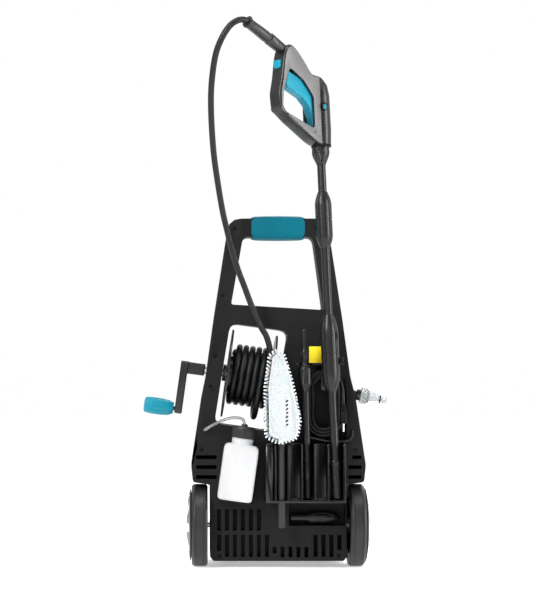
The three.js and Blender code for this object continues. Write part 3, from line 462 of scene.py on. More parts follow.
def piece(name, points, faces, finish, body, slot, replaces=(), sharp=SHARP_ANGLE):
    """A mesh from points in metres. Faces are turned round together if they enclose a negative volume."""
    points = np.asarray(points, float)
    volume = 0.0
    for step in (1, 2):
        usable = [face for face in faces if len(face) > step + 1]
        tri = np.array([(face[0], face[step], face[step + 1]) for face in usable])
        a, b, c = points[tri[:, 0]], points[tri[:, 1]], points[tri[:, 2]]
        volume += float(np.einsum("ij,ij->i", a - points.mean(0), np.cross(b - a, c - a)).sum())
    if volume < 0:
        faces = [tuple(reversed(tuple(face))) for face in faces]
    mesh = bpy.data.meshes.new(name)
    mesh.from_pydata(points.tolist(), [], [tuple(int(i) for i in face) for face in faces])
    settle(mesh, finish)
    mesh.set_sharp_from_angle(angle=math.radians(sharp))
    made = bpy.data.objects.new(name, mesh)
    bpy.context.scene.collection.objects.link(made)
    if body:
        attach(made, body)
    if replaces:
        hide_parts(*replaces)
    return made


def grid_faces(rows, columns, loop=False):
    """Quads of a grid whose columns close on themselves, and whose rows do too if it is a loop."""
    row = np.arange(rows if loop else rows - 1)[:, None]
    column = np.arange(columns)[None, :]
    after, beside = (row + 1) % rows, (column + 1) % columns
    quads = [row * columns + column, row * columns + beside, after * columns + beside, after * columns + column]
    return [tuple(quad) for quad in np.stack(quads, -1).reshape(-1, 4).tolist()]


def closed(rings, caps="fan"):
    """Rings (rows, columns, 3) as a closed skin, with each end closed by a fan round its middle or by one face."""
    rows, columns, _ = rings.shape
    points = rings.reshape(-1, 3)
    faces = grid_faces(rows, columns)
    last = (rows - 1) * columns
    if caps == "flat":
        faces.append(tuple(range(columns))[::-1])
        faces.append(tuple(range(last, last + columns)))
        return points, faces
    points = np.vstack([points, rings[0].mean(0), rings[-1].mean(0)])
    for i in range(columns):
        beside = (i + 1) % columns
        faces.append((rows * columns, beside, i))
        faces.append((rows * columns + 1, last + i, last + beside))
    return points, faces


def merged(*parts):
    """Several (points, faces) as one."""
    points, faces, start = [], [], 0
    for some, theirs in parts:
        points.append(np.asarray(some))
        faces += [tuple(i + start for i in face) for face in theirs]
        start += len(some)
    return np.vstack(points), faces


def rounded(corners, steps=6, loop=True):
    """An outline through corners (a, b, radius). Each corner is a quadratic curve between two points on its sides."""
    made, count = [], len(corners)
    share = np.linspace(0, 1, steps + 1)[:, None]
    for i, corner in enumerate(corners):
        here = np.array(corner[:2], float)
        radius = corner[2] if len(corner) > 2 else 0
        if radius <= 0 or (not loop and i in (0, count - 1)):
            made.append(here[None])
            continue
        before = np.array(corners[(i - 1) % count][:2], float) - here
        after = np.array(corners[(i + 1) % count][:2], float) - here
        long_before, long_after = np.linalg.norm(before), np.linalg.norm(after)
        half = math.acos(np.clip(before @ after / long_before / long_after, -1, 1)) / 2
        reach = min(radius / math.tan(half), 0.48 * min(long_before, long_after))
        start, end = here + before / long_before * reach, here + after / long_after * reach
        made.append((1 - share) ** 2 * start + 2 * share * (1 - share) * here + share**2 * end)
    return np.vstack(made)


def outward(outline):
    """Unit normals of a closed 2D outline, away from its inside."""
    ahead = np.roll(outline, -1, 0) - np.roll(outline, 1, 0)
    normal = np.stack([ahead[:, 1], -ahead[:, 0]], -1)
    normal /= np.maximum(np.linalg.norm(normal, axis=1, keepdims=True), 1e-9)
    area = np.sum(outline[:, 0] * np.roll(outline[:, 1], -1) - np.roll(outline[:, 0], -1) * outline[:, 1])
    return normal if area > 0 else -normal


def slab(outline, low, high, edge=1.5, steps=4):
    """An outline in a and b, carried from depth low to high. Near each face it is drawn in along a quarter circle."""
    normal = outward(outline)
    angle = np.linspace(0, math.pi / 2, steps + 1)
    rows = [(edge * (1 - math.sin(turn)), low + edge * (1 - math.cos(turn))) for turn in angle]
    rows += [(edge * (1 - math.sin(turn)), high - edge * (1 - math.cos(turn))) for turn in angle[::-1]]
    rings = []
    for inset, depth in rows:
        flat = outline - inset * normal
        rings.append(np.column_stack([flat[:, 0], np.full(len(flat), depth), flat[:, 1]]))
    return closed(np.array(rings), "flat")


def lathe(profile, sides=48, axis="z", loop=False, change=None):
    """A profile (radius, along) turned about an axis. change(angle, along, radius) may press in flutes or ribs."""
    profile = np.asarray(profile, float)
    angle = np.linspace(0, 2 * math.pi, sides, endpoint=False)[None, :]
    radius, along = profile[:, :1] + 0 * angle, profile[:, 1:2] + 0 * angle
    if change is not None:
        radius, along = change(angle, along, radius)
    a, b = radius * np.cos(angle), radius * np.sin(angle)
    order = {"z": (a, b, along), "x": (along, a, b), "y": (b, along, a)}[axis]
    rings = np.stack(order, -1)
    if not loop:
        return closed(rings)
    return rings.reshape(-1, 3), grid_faces(len(profile), sides, True)


def spaced(points, step):
    """Points a step apart along a line in 2D or 3D, by straight runs between the given ones."""
    points = np.asarray(points, float)
    run = np.concatenate([[0], np.cumsum(np.linalg.norm(np.diff(points, axis=0), axis=1))])
    places = np.linspace(0, run[-1], max(4, int(round(run[-1] / step)) + 1))
    return np.column_stack([np.interp(places, run, points[:, i]) for i in range(points.shape[1])])


def respaced(profile, step):
    """A profile's first point, then points a step apart along the rest, so that a change to it shows."""
    return np.vstack([profile[:1], spaced(profile[1:], step)])


def ring_line(outline, step):
    """Points a step apart round a closed outline, back to its start."""
    return spaced(np.vstack([outline, outline[:1]]), step)


def off_line(angle, count, size):
    """Distance round the surface to the nearest of count lines, evenly spaced from angle 0."""
    return np.abs((angle * count / (2 * math.pi) + 0.5) % 1 - 0.5) * 2 * math.pi / count * size


def eased_step(share):
    """0 to 1 with a level start and end: 3s^2 - 2s^3."""
    return share * share * (3 - 2 * share)


def smooth_path(points, step, per=12):
    """A centripetal Catmull-Rom curve through points, with points a step apart."""
    points = np.asarray(points, float)
    points = np.vstack([2 * points[0] - points[1], points, 2 * points[-1] - points[-2]])
    made = []
    for p0, p1, p2, p3 in zip(points, points[1:], points[2:], points[3:]):
        t1 = np.linalg.norm(p1 - p0) ** 0.5
        t2 = t1 + np.linalg.norm(p2 - p1) ** 0.5
        t3 = t2 + np.linalg.norm(p3 - p2) ** 0.5
        t = np.linspace(t1, t2, per, endpoint=False)[:, None]
        a1 = (t1 - t) / t1 * p0 + t / t1 * p1
        a2 = (t2 - t) / (t2 - t1) * p1 + (t - t1) / (t2 - t1) * p2
        a3 = (t3 - t) / (t3 - t2) * p2 + (t - t2) / (t3 - t2) * p3
        b1 = (t2 - t) / t2 * a1 + t / t2 * a2
        b2 = (t3 - t) / (t3 - t1) * a2 + (t - t1) / (t3 - t1) * a3
        made.append((t2 - t) / (t2 - t1) * b1 + (t - t1) / (t2 - t1) * b2)
    return spaced(np.vstack([*made, points[-2:-1]]), step)


def eased(path, passes):
    """The path with each inner point drawn to the mean of its neighbours, a few times."""
    path = path.copy()
    for _ in range(passes):
        path[1:-1] = 0.25 * path[:-2] + 0.5 * path[1:-1] + 0.25 * path[2:]
    return path


def tube(path, radius, sides=12):
    """A round skin about a path. Each ring's side is the last one's, made square to the path again."""
    ahead = np.gradient(path, axis=0)
    ahead /= np.linalg.norm(ahead, axis=1, keepdims=True)
    side = np.cross(ahead[0], [0.3, 0.2, 0.93])
    sides_of = np.zeros_like(path)
    for i, way in enumerate(ahead):
        side = side - way * (side @ way)
        side = side / np.linalg.norm(side)
        sides_of[i] = side
    other = np.cross(ahead, sides_of)
    angle = np.linspace(0, 2 * math.pi, sides, endpoint=False)[None, :, None]
    rings = path[:, None] + radius * (np.cos(angle) * sides_of[:, None] + np.sin(angle) * other[:, None])
    return closed(rings)


def add_length_map(made, path_count, sides):
    """A UV map along a tube: u runs round, and v grows by MAP_STEP from ring to ring."""
    mesh = made.data
    layer = mesh.uv_layers.new(name="along")
    loops = np.zeros(len(mesh.loops), np.int32)
    mesh.loops.foreach_get("vertex_index", loops)
    ring, place = loops // sides, loops % sides
    uv = np.stack([place / sides, np.minimum(ring, path_count) * MAP_STEP], -1)
    layer.data.foreach_set("uv", uv.astype(np.float32).ravel())


def softened(node, finish, name, edge, segments=2):
    """A copy of a CAD node's mesh with its points joined, its flat faces evenly cut and its edges rounded."""
    source = frame["nodes"][node]
    mesh = source.data.copy()
    work = bmesh.new()
    work.from_mesh(mesh)
    bmesh.ops.remove_doubles(work, verts=work.verts, dist=1e-5)
    bmesh.ops.dissolve_limit(work, angle_limit=math.radians(0.6), verts=work.verts, edges=work.edges)
    bmesh.ops.triangulate(work, faces=work.faces, quad_method="BEAUTY", ngon_method="BEAUTY")
    work.to_mesh(mesh)
    work.free()
    settle(mesh, finish)
    mesh.set_sharp_from_angle(angle=math.radians(EDGE_ANGLE))
    made = bpy.data.objects.new(name, mesh)
    bpy.context.scene.collection.objects.link(made)
    bevel = made.modifiers.new("edges", "BEVEL")
    bevel.width = edge * MM
    bevel.segments = segments
    bevel.limit_method = "ANGLE"
    bevel.angle_limit = math.radians(EDGE_ANGLE)
    bevel.use_clamp_overlap = False
    bevel.harden_normals = True
    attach(made, source["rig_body"])
    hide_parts(node)


def kept(node, finish):
    """A CAD node that stays as it is, in a better material."""
    mesh = frame["nodes"][node].data
    mesh.materials.clear()
    mesh.materials.append(FINISH[finish])


# ---------------------------------------------------------------- hose and power cable

HOSE_RADIUS = 7.0
CABLE_RADIUS = 3.75
INNER_TURNS = 5.75
OUTER_TURNS = 5.5
INNER_LAYER = 53.3
OUTER_LAYER = 66.2
REEL_SIDE = 42.5
SLACK_DROP = 29.0  # how far the slack turn hangs below the others
HOSE_STEP = 0.0045  # metres from one ring of the hose to the next
CABLE_STEP = 0.003


def cord(made, path, radius, sides, far_end, lay, **more):
    """Gives a tube its length map."""
    add_length_map(made, len(path), sides)


def wound_hose():
    """Two layers on the drum: out to the left, then back to the right, where one slack turn hangs low.
    Round the axis the angle grows evenly, while the radius steps up between the layers."""
    turn = np.arange(-(INNER_TURNS + OUTER_TURNS), 0.0001, 1 / 64)
    along = np.interp(turn, [turn[0], -OUTER_TURNS, 0], [REEL_SIDE, -REEL_SIDE, REEL_SIDE + 0.5])
    step = np.clip((turn + OUTER_TURNS + 0.3) / 0.6, 0, 1)
    radius = INNER_LAYER + (OUTER_LAYER - INNER_LAYER) * eased_step(step)
    slack = np.where(np.abs(turn + 1.25) < 0.25, np.cos(2 * math.pi * (turn + 1.25)), 0)
    radius = radius + SLACK_DROP * np.maximum(slack, 0) ** 3
    angle = 2 * math.pi * turn
    local = np.stack([along, -radius * np.cos(angle), radius * np.sin(angle)], -1)
    path = spaced(REEL(eased(local, 3)), HOSE_STEP)
    made = piece("hose_on_reel", *tube(path, HOSE_RADIUS * MM, 14), "hose", "reel", "hose_rubber", ["hose_coil"])
    cord(made, path, HOSE_RADIUS, 14, "object", "coiled")


def free_hose():
    """The run from the reel, past the handle and over to the gun, through chosen points."""
    route = [
        (-24, -62, 444), (-20, -62, 478), (-21, -62, 513), (-29, -63, 541), (-40, -65, 560), (-53, -70, 587),
        (-67, -76, 620), (-81, -82, 657), (-95, -87, 693), (-112, -93, 749), (-121, -97, 785), (-130, -103, 822),
        (-143, -128, 893), (-153, -155, 963), (-159, -205, 1062), (-157, -232, 1110), (-149, -257, 1161),
        (-140, -267.6, 1186), (-126, -274.3, 1211), (-113, -275.2, 1226), (-95, -269.6, 1236), (-82.4, -262.6, 1236),
    ]
    in_sleeve = CONNECTOR([0, 0, 113])
    path = smooth_path(np.vstack([DESIGN(route), in_sleeve]), HOSE_STEP)
    made = piece("hose_free_run", *tube(path, HOSE_RADIUS * MM, 16), "hose", None, "hose_rubber", ["hose_free"])
    cord(made, path, HOSE_RADIUS, 16, "object", "hanging")
    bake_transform(made)


COIL_MIDDLE = (106, 384)  # x and z
COIL_HALF = 45.0  # half its width
COIL_STRAIGHT = 35.0  # half the length of its straight sides
LOOPS = 12


def racetrack(phase, inset):
    """A loop with round ends, clockwise from the top of its right side; phase counts loops, inset draws it in."""
    radius = COIL_HALF - inset
    bend = math.pi * radius
    run = (phase % 1.0) * (4 * COIL_STRAIGHT + 2 * bend)
    down = np.clip(run, 0, 2 * COIL_STRAIGHT)
    under = np.clip(run - 2 * COIL_STRAIGHT, 0, bend) / radius
    up = np.clip(run - 2 * COIL_STRAIGHT - bend, 0, 2 * COIL_STRAIGHT)
    over = np.clip(run - 4 * COIL_STRAIGHT - bend, 0, bend) / radius
    x = radius * np.cos(under) * np.cos(over)
    z = COIL_STRAIGHT - down + up - radius * np.sin(under) + radius * np.sin(over)
    return COIL_MIDDLE[0] + x, COIL_MIDDLE[1] + z


def power_cable():
    """Twelve loops over the two hooks: four rows front to back, three loops deep, then the lead to the plug."""
    rows = [-36.0, -44.0, -52.0, -60.0]  # y of each row
    deep = [0, 1, 2, 2, 1, 0, 0, 1, 2, 2, 1, 0]  # place of each loop in its row, from outside to inside
    loop = np.arange(LOOPS)
    phase = np.arange(-0.04, LOOPS - 0.08, 1 / 60)
    hold = 0.8
    marks = np.sort(np.concatenate([loop - 0.1, loop + hold - 0.1]))
    inset = np.interp(phase, marks, CABLE_RADIUS + 0.1 + 7.6 * np.repeat(deep, 2))
    depth = np.interp(phase, marks, np.repeat(rows, 6))
    sway = 0.5 * np.sin(2 * math.pi * phase * 1.5)
    x, z = racetrack(phase, inset)
    coil = np.stack([x, depth + sway, z], -1)
    route = np.vstack([
        [(130, -42, 465.9), (130.5, -40.5, 461.5)],
        coil,
        [(141, -67, 438), (145, -75, 428), (148, -81.5, 414), (148.5, -84, 400), (148.5, -84, 384.4)],
    ])
    path = spaced(DESIGN(eased(spaced(route, 3.0), 4)), CABLE_STEP)
    made = piece("power_cable", *tube(path, CABLE_RADIUS * MM, 10), "cable", "root", "cable_rubber",
                 ["cable_coil", "cable_lead"])
    cord(made, path, CABLE_RADIUS, 10, "plug", "coiled", with_pieces=mains_plug())


def mains_plug():
    """Moulded two-pin plug: a ringed sleeve, a body that widens downwards, and two round pins."""
    place = design_at(148.5, -84, 0)
    sleeve = [(0.4, 384), (5.2, 384)]
    for ring in range(4):
        top = 382 - 3.6 * ring
        sleeve += [(6.4 + 0.35 * ring, top), (6.6 + 0.35 * ring, top - 1.8), (5.6 + 0.35 * ring, top - 2.4)]
    sleeve += [(8, 368.2), (0.4, 368)]
    height = np.array([368.4, 367, 362, 354, 346, 340, 338.6, 338])
    half_x = np.array([6.0, 7.6, 7.8, 8.0, 8.4, 8.5, 8.0, 6.8])
    half_y = np.array([6.0, 8.2, 10.5, 14.0, 15.6, 16.0, 15.4, 14.0])
    body = stacked(height, half_x, half_y, 3.2, 40)
    points, faces = lathe(sleeve, 28)
    ringed = piece("plug_sleeve", place(points), faces, "dark", "root", "cable_rubber")
    made = piece("plug_body", place(body[0]), body[1], "dark", "root", "cable_rubber", ["mains_plug"])
    pins = []
    for y in (-9.5, 9.5):
        points, faces = lathe([(0.3, 319), (1.8, 319.2), (2.3, 320.6), (2.3, 338.4), (0.3, 338.6)], 16)
        pins.append((points + np.array([0, y, 0]), faces))
    points, faces = merged(*pins)
    metal = piece("plug_pins", place(points), faces, "silver", "root", "steel")
    return [ringed, made, metal]


def superellipse(half_a, half_b, power, count):
    """Points round |a/A|^n + |b/B|^n = 1."""
    angle = np.linspace(0, 2 * math.pi, count, endpoint=False)
    c, s = np.cos(angle), np.sin(angle)
    return half_a * np.sign(c) * np.abs(c) ** (2 / power), half_b * np.sign(s) * np.abs(s) ** (2 / power)


def stacked(height, half_a, half_b, power, count):
    """Superellipses stacked along z, with half widths and power given at each height."""
    power = np.broadcast_to(power, np.shape(height))
    rings = []
    for z, a, b, n in zip(height, half_a, half_b, power):
        x, y = superellipse(a, b, n, count)
        rings.append(np.column_stack([x, y, np.full(count, z)]))
    return closed(np.array(rings))


def cable_gland():
    """The strain relief: a tapered, ringed nose under a square moulded box."""
    place = design_at(130, -42, 0)
    nose = [(4.2, 466), (5.4, 466.2)]
    for ring in range(5):
        low = 467.5 + 3.8 * ring
        size = 5.4 + 0.65 * ring
        nose += [(size, low), (size + 0.2, low + 2.2), (size - 0.9, low + 2.6), (size - 0.7, low + 3.6)]
    nose += [(9, 487), (0.4, 487)]
    points, faces = lathe(nose, 28)
    piece("cable_gland_nose", place(points), faces, "dark", "root", "cable_rubber")
    outline = rounded([(-11, 486, 3), (11, 486, 3), (11, 510, 3), (-11, 510, 3)])
    points, faces = slab(outline, -11, 11.7, edge=1.4)
    piece("cable_gland_box", place(points), faces, "switch", "root", "cable_rubber", ["cable_gland"])


wound_hose()
free_hose()
power_cable()
cable_gland()


# ---------------------------------------------------------------- moulded frame

# Each screw's x and z, and 1 where it sits on the lower, deeper face
REAR_SCREWS = [(-102, 794, 0), (-129, 637, 0), (-147, 495, 0), (-160, 424, 1), (-179, 276, 1), (-137, 27, 1),
               (180, 276, 1), (141, 28, 1), (90, 798, 0)]
REAR_Y = -30.0
LOWER_REAR_Y = -58.0


def screw_head(radius):
    """A pan head seen along z, with a cross pressed into it."""
    depth = 1.6
    profile = [(0.2, 0)] + [(radius * share, 0) for share in (0.12, 0.24, 0.36, 0.48, 0.6, 0.72)]
    profile += [(radius * 0.86, -0.15), (radius * 0.96, -0.5), (radius, -depth), (0.2, -depth)]
    cross = 0.16 * radius

    def press(angle, along, size):
        a, b = np.abs(size * np.cos(angle)), np.abs(size * np.sin(angle))
        inside = (np.minimum(a, b) < cross) & (np.maximum(a, b) < 0.66 * radius) & (along > -0.1)
        return size, along - 0.8 * inside

    return lathe(profile, 32, change=press)


def screws(name, spots, radius, body, slot):
    """Screw heads at places whose z points out of the surface, as one piece."""
    points, faces = screw_head(radius)
    piece(name, *merged(*[(place(points), faces) for place in spots]), "dark", body, slot)


def housings():
    """The three big mouldings with rounded edges, and the screws in the rear one."""
    softened("rear_frame", "housing", "rear_frame_shell", edge=1.3)
    softened("front_frame", "housing", "front_frame_shell", edge=2.2)
    softened("motor_cover", "cover", "motor_cover_shell", edge=2.2, segments=3)
    spots = []
    for x, z, low in REAR_SCREWS:
        face = LOWER_REAR_Y if low else REAR_Y
        spots.append(design_at(x, face - 0.4, z).along([0, -1, 0]))
    screws("frame_screws", spots, 4.6, "root", "housing_plastic")


def handle_grip():
    """A crowned sleeve round the bar. Each section is a superellipse, fuller in the middle and rolled in at the ends.
    The last sections, drawn in, are its inner wall."""
    low, high = corners_of("handle_grip")
    low, high = (low - DESIGN.origin) / MM, (high - DESIGN.origin) / MM
    middle, half = (low + high) / 2, (high - low) / 2
    share = np.linspace(-1, 1, 41)
    swell = 1 - 0.05 * share**2 - 0.10 * np.abs(share) ** 16
    sections = [(place, size, size, 3.6) for place, size in zip(share, swell)]
    sections += [(place, 0.83, 0.78, 5) for place in (0.985, 0.9, -0.9, -0.985)]
    rings = []
    for place, deep, tall, power in sections:
        y, z = superellipse(half[1] * deep, half[2] * tall, power, 96)
        rings.append(np.column_stack([np.full(96, middle[0] + place * half[0]), middle[1] + y, middle[2] + z]))
    points = np.array(rings).reshape(-1, 3)
    piece("handle_grip_sleeve", DESIGN(points), grid_faces(len(rings), 96, True), "grip", "root", "grip_rubber",
          ["handle_grip"])


def feet():
    """Two round rubber feet under the front, turned from a tapered profile."""
    profile = rounded([(0.3, 0), (14, 0, 2), (17, 15.7, 1), (0.3, 15.7)], loop=False)
    for side, name in ((-1, "left"), (1, "right")):
        points, faces = lathe(profile, 40)
        piece(f"rubber_foot_{name}", design_at(side * 112, 140, 0)(points), faces, "foot", "root", "foot_rubber",
              [f"foot_{name}"])


def marker_plate():
    """A blank yellow plate on the rear face, between the lances."""
    outline = rounded([(73, 476, 1.5), (105, 476, 1.5), (105, 517, 1.5), (73, 517, 1.5)])
    points, faces = slab(outline, REAR_Y - 0.9, REAR_Y - 0.05, edge=0.3)
    piece("marker_plate", DESIGN(points), faces, "plate", "root", "housing_plastic")


def vent_shade_sheets():
    """Painted shade: dark sheets inside the body, close behind the rear vents and behind the front cover's vents,
    where the inside would be in shade.
    """
    # painted shade behind the vents, not a real screen
    rear = slab(rounded([(-150, 24, 4), (24, 24, 4), (24, 150, 4), (-150, 150, 4)]), -44, -42, edge=0.5)
    side = slab(rounded([(26, 24, 4), (150, 24, 4), (150, 96, 4), (26, 96, 4)]), -22, -20, edge=0.5)
    points, faces = merged(rear, side)
    piece("vent_shade_sheets", DESIGN(points), faces, "dark", "root", "housing_plastic")


vent_shade_sheets()
housings()
handle_grip()
feet()
marker_plate()
softened("switch_knob", "teal", "switch_knob_cap", edge=1.6, segments=3)
kept("motor", "cast")
kept("pump", "cast")
kept("switch_box", "switch")


# ---------------------------------------------------------------- wheels

WHEEL_Y = -12.0
WHEEL_RADIUS = 96.5
TREAD_RADIUS = 96.4
WINDOWS = 8


def dome(radius):
    """Height of the wheel cap's outer face at a radius, along the axle."""
    return 206 + 9.6 * (1 - (np.clip(radius, 0, 86) / 86) ** 2.2)


def wheel(side, name):
    """Tyre, web and cap turned about the axle, and bright windows laid on the cap's dome."""
    place = Place(DESIGN([0, WHEEL_Y, WHEEL_RADIUS]), (side, 0, 0), (0, side, 0), (0, 0, 1))
    body = f"wheel_{name}"
    full, pressed = TREAD_RADIUS, TREAD_RADIUS - 0.8
    tread = rounded([(78, 165.2), (92, 165.2, 2), (full, 170, 4), (full, 197, 5), (92, 202.8, 3), (78, 202.8)], 7)
    grooves = [(full, 173.5), (pressed, 174), (pressed, 175), (full, 175.5),
               (full, 193), (pressed, 193.5), (pressed, 194.5), (full, 195)]
    after_edge = int(np.argmax(tread[:, 1] > 172))
    profile = np.vstack([tread[:after_edge], grooves, tread[after_edge:]])
    points, faces = lathe(profile, 128, "x", loop=True)
    piece(f"tyre_{name}_tread", place(points), faces, "tyre", body, "tyre_plastic", [f"tyre_{name}"])
    hub = [(6.3, 167), (18, 167), (18, 184), (68, 184), (68, 167), (77.7, 167), (77.7, 202), (68, 202), (68, 192),
           (18, 192), (18, 202), (6.3, 202)]
    points, faces = lathe(hub, 72, "x", loop=True)
    piece(f"wheel_{name}_web", place(points), faces, "wheel", body, "wheel_plastic", [f"wheel_{name}"])
    out = np.linspace(85.5, 0.4, 26)
    back = [(0.4, 204), (24, 204), (24, 202.4), (76, 202.4), (77, 203.4), (84, 204.8)]
    points, faces = lathe(np.vstack([back, np.column_stack([out, dome(out)])]), 96, "x")
    piece(f"wheel_cap_{name}_dome", place(points), faces, "wheel", body, "wheel_plastic", [f"wheel_cap_{name}"])
    window = rounded([(44.6, -10.4, 4), (73.4, -10.4, 4), (73.4, 10.4, 4), (44.6, 10.4, 4)], 4)
    points, faces = slab(window, -1.5, 0.9, edge=0.7, steps=2)
    out, depth, across = points.T
    away = np.hypot(out, across)
    patches = []
    for turn in np.arange(WINDOWS) * 2 * math.pi / WINDOWS:
        c, s = math.cos(turn), math.sin(turn)
        local = np.column_stack([dome(away) + depth, -s * out + c * across, c * out + s * across])
        patches.append((place(local), faces))
    points, faces = merged(*patches)
    piece(f"wheel_trim_{name}", points, faces, "silver", body, "wheel_plastic")


wheel(-1, "left")
wheel(1, "right")
kept("wheel_axle", "steel")


# ---------------------------------------------------------------- reel and crank

def flange(side, name):
    """A thin disc with a rim, a boss and six spokes raised on its outer face."""
    inner, outer = 50.0, 54.0
    profile = [(10.3, inner), (104, inner), (104, outer)]
    profile += [(radius, outer) for radius in np.linspace(103, 11, 32)] + [(10.3, outer)]

    def raised(angle, along, radius):
        keep = (radius > 98.5) | (radius < 26) | (off_line(angle, 6, radius) < 6)
        return radius, along - 1.4 * ((along > outer - 0.5) & ~keep)

    points, faces = lathe(profile, 144, "x", loop=True, change=raised)
    points = points * np.array([side, side, 1])
    piece(f"reel_disc_{name}", REEL(points), faces, "reel", "reel", "reel_plastic", [f"reel_flange_{name}"])


def crank_knob():
    """A handle that swells at both ends, with long grooves between them."""
    inn, out, arm = -167.0, -237.0, -100  # its two ends along the axle, and its place on the crank
    profile = rounded([(5.3, inn), (13.5, inn, 2), (18.5, inn - 12, 8), (20.3, inn - 30, 10), (20.3, out + 18, 8),
                       (18, out + 2, 4), (12, out, 2), (0.4, out)], 6, loop=False)
    profile = np.vstack([spaced(profile, 1.6), [(0.4, out)]])

    def grooved(angle, along, radius):
        middle = np.clip(1 - ((along - (inn + out) / 2) / 27) ** 2, 0, 1) ** 0.5
        wave = np.abs(np.sin(6 * angle)) ** 0.5
        return radius - 1.5 * middle * (1 - wave), along

    points, faces = lathe(profile, 96, "x", change=grooved)
    points = points + np.array([0, 0, arm])
    piece("crank_knob_grip", REEL(points), faces, "teal", "crank_knob", "teal_plastic", ["crank_knob"])


def drum():
    """The plain barrel under the hose."""
    points, faces = lathe([(10.3, -49.5), (46, -49.5), (46, 49.5), (10.3, 49.5)], 64, "x", loop=True)
    piece("reel_drum_skin", REEL(points), faces, "reel", "reel", "reel_plastic", ["reel_drum"])


flange(-1, "left")
flange(1, "right")
drum()
crank_knob()
softened("crank_arm", "reel", "crank_arm_bar", edge=2.6, segments=4)
kept("reel_axle", "steel")
kept("reel_bearing", "reel")
kept("crank_spindle", "reel")


# ---------------------------------------------------------------- lance

def fluted(low, high, end, full, count, width, depth, collar):
    """A spindle between two heights, with long lens-shaped flutes and a collar line pressed in round its middle.
    Its radius rises from end to full as a quarter sine over a quarter of its length at each side."""
    length, middle = high - low, (low + high) / 2
    share = np.concatenate([np.linspace(0, 0.485, 70), [0.489, 0.491, 0.509, 0.511], np.linspace(0.515, 1, 70)])
    rise = np.sin(np.clip(np.minimum(share, 1 - share) / 0.24, 0, 1) * math.pi / 2)
    radius = end + (full - end) * rise
    radius[(share > 0.489) & (share < 0.511)] -= collar
    profile = [(4.2, low), *np.column_stack([radius, low + share * length]), (4.2, high)]

    def carved(angle, along, size):
        place = np.clip(np.abs(along - middle) / (0.47 * length), 0, 1)
        half = width * (1 - place**5)
        off = (angle * count / (2 * math.pi) + 0.35) % 1 - 0.5
        arc = np.abs(off) * 2 * math.pi / count * size
        cut = np.clip((half - arc) / 2.2, 0, 1)
        return size - np.where(size > 5, depth * eased_step(cut), 0), along

    return lathe(profile, 216, change=carved)


def lance():
    """Nozzle, pipes and couplings, from the bottom up. Heights run along the lance from its nozzle."""
    rings = [(4.2, -3.5), (8.4, -3.5), (9.6, -1.5)]
    for i in range(12):
        low, size = 0.5 + 6.4 * i, 10.5 + 0.15 * i
        rings += [(size + 0.2, low), (size + 0.35, low + 3.4), (size - 0.9, low + 4.0), (size - 0.9, low + 5.6)]
    rings += [(12.3, 78), (12.4, 86), (11.2, 87.8), (4.2, 87.8)]
    points, faces = lathe(rings, 56)
    piece("lance_nozzle_ribbed", LANCE(points), faces, "lance", "nozzle", "lance_plastic", ["lance_nozzle"])
    for name, low, high in (("lower", 88.2, 245.3), ("middle", 424.2, 578.8), ("upper", 708.9, 771.1)):
        points, faces = lathe([(0.3, low), (9.9, low), (9.9, high), (0.3, high)], 48)
        piece(f"lance_pipe_{name}", LANCE(points), faces, "lance", "lance", "lance_plastic", [f"lance_tube_{name}"])
    points, faces = fluted(245.5, 424, end=11, full=20.8, count=5, width=5.2, depth=1.8, collar=0.8)
    piece("lance_coupling_fluted", LANCE(points), faces, "lance", "lance", "lance_plastic", ["lance_coupling"])
    points, faces = fluted(579, 708.7, end=11, full=19.3, count=5, width=4.6, depth=1.6, collar=1.2)
    piece("lance_collar_fluted", LANCE(points), faces, "lance", "lance", "lance_plastic", ["lance_collar"])
    window = rounded([(-4, 366, 1), (4, 366, 1), (4, 384, 1), (-4, 384, 1)])
    points, faces = slab(window, -20.9, -18.5, edge=0.8)
    piece("lance_latch", LANCE.turned(52)(points), faces, "dark", "lance", "lance_plastic")

    def notched(angle, along, size):
        share = np.clip((along - 772) / 36, 0, 1)
        cut = np.clip((9.5 * share - off_line(angle, 4, size)) / 2.4, 0, 1) * (along < 809) * (size > 5)
        return size - 2.4 * eased_step(cut), along

    swell = [(11 + 10.3 * math.sin(s * math.pi / 2) ** 1.3, 771.6 + 31 * s) for s in np.linspace(0.02, 1, 50)]
    profile = [(4.2, 771.3), (11, 771.3), *swell, (21.3, 806), (21.3, 808.6), (20.8, 809.2), (20.8, 811.4),
               (4.2, 811.5)]
    points, faces = lathe(profile, 192, change=notched)
    piece("gun_coupling_notched", LANCE(points), faces, "lance", "lance", "lance_plastic", ["gun_coupling"])


# ---------------------------------------------------------------- spray gun

GUN_HALF = 18  # half its thickness
BARREL = np.array([-3, 0, 0])  # the barrel's axis from the lance's
GUN_MIDDLE = np.array([90.0, 905.0])
GUN_OUTLINE = [(14, 812, 4), (112, 862, 14), (150, 888, 16), (153, 925, 10), (141, 962, 20), (124, 1034, 6),
               (111, 1046, 4), (90, 1031, 10), (64, 1006, 20), (37, 974, 10), (-8, 974, 12), (-22, 812, 4)]
GUN_LOOP = [(37, 850, 6), (146, 887, 7), (140, 931, 16), (116, 984, 5), (70, 959, 20), (37, 924, 16)]
TRIGGER = [(22, 850, 3), (33, 846, 3), (34, 875, 12), (46, 903, 14), (68, 921, 14), (116, 940, 5), (124, 947, 5),
           (114, 979, 5), (70, 962, 20), (33, 925, 16), (19, 872, 6)]
PIVOT = np.array([25.0, 856.0])
PULL = 8.0


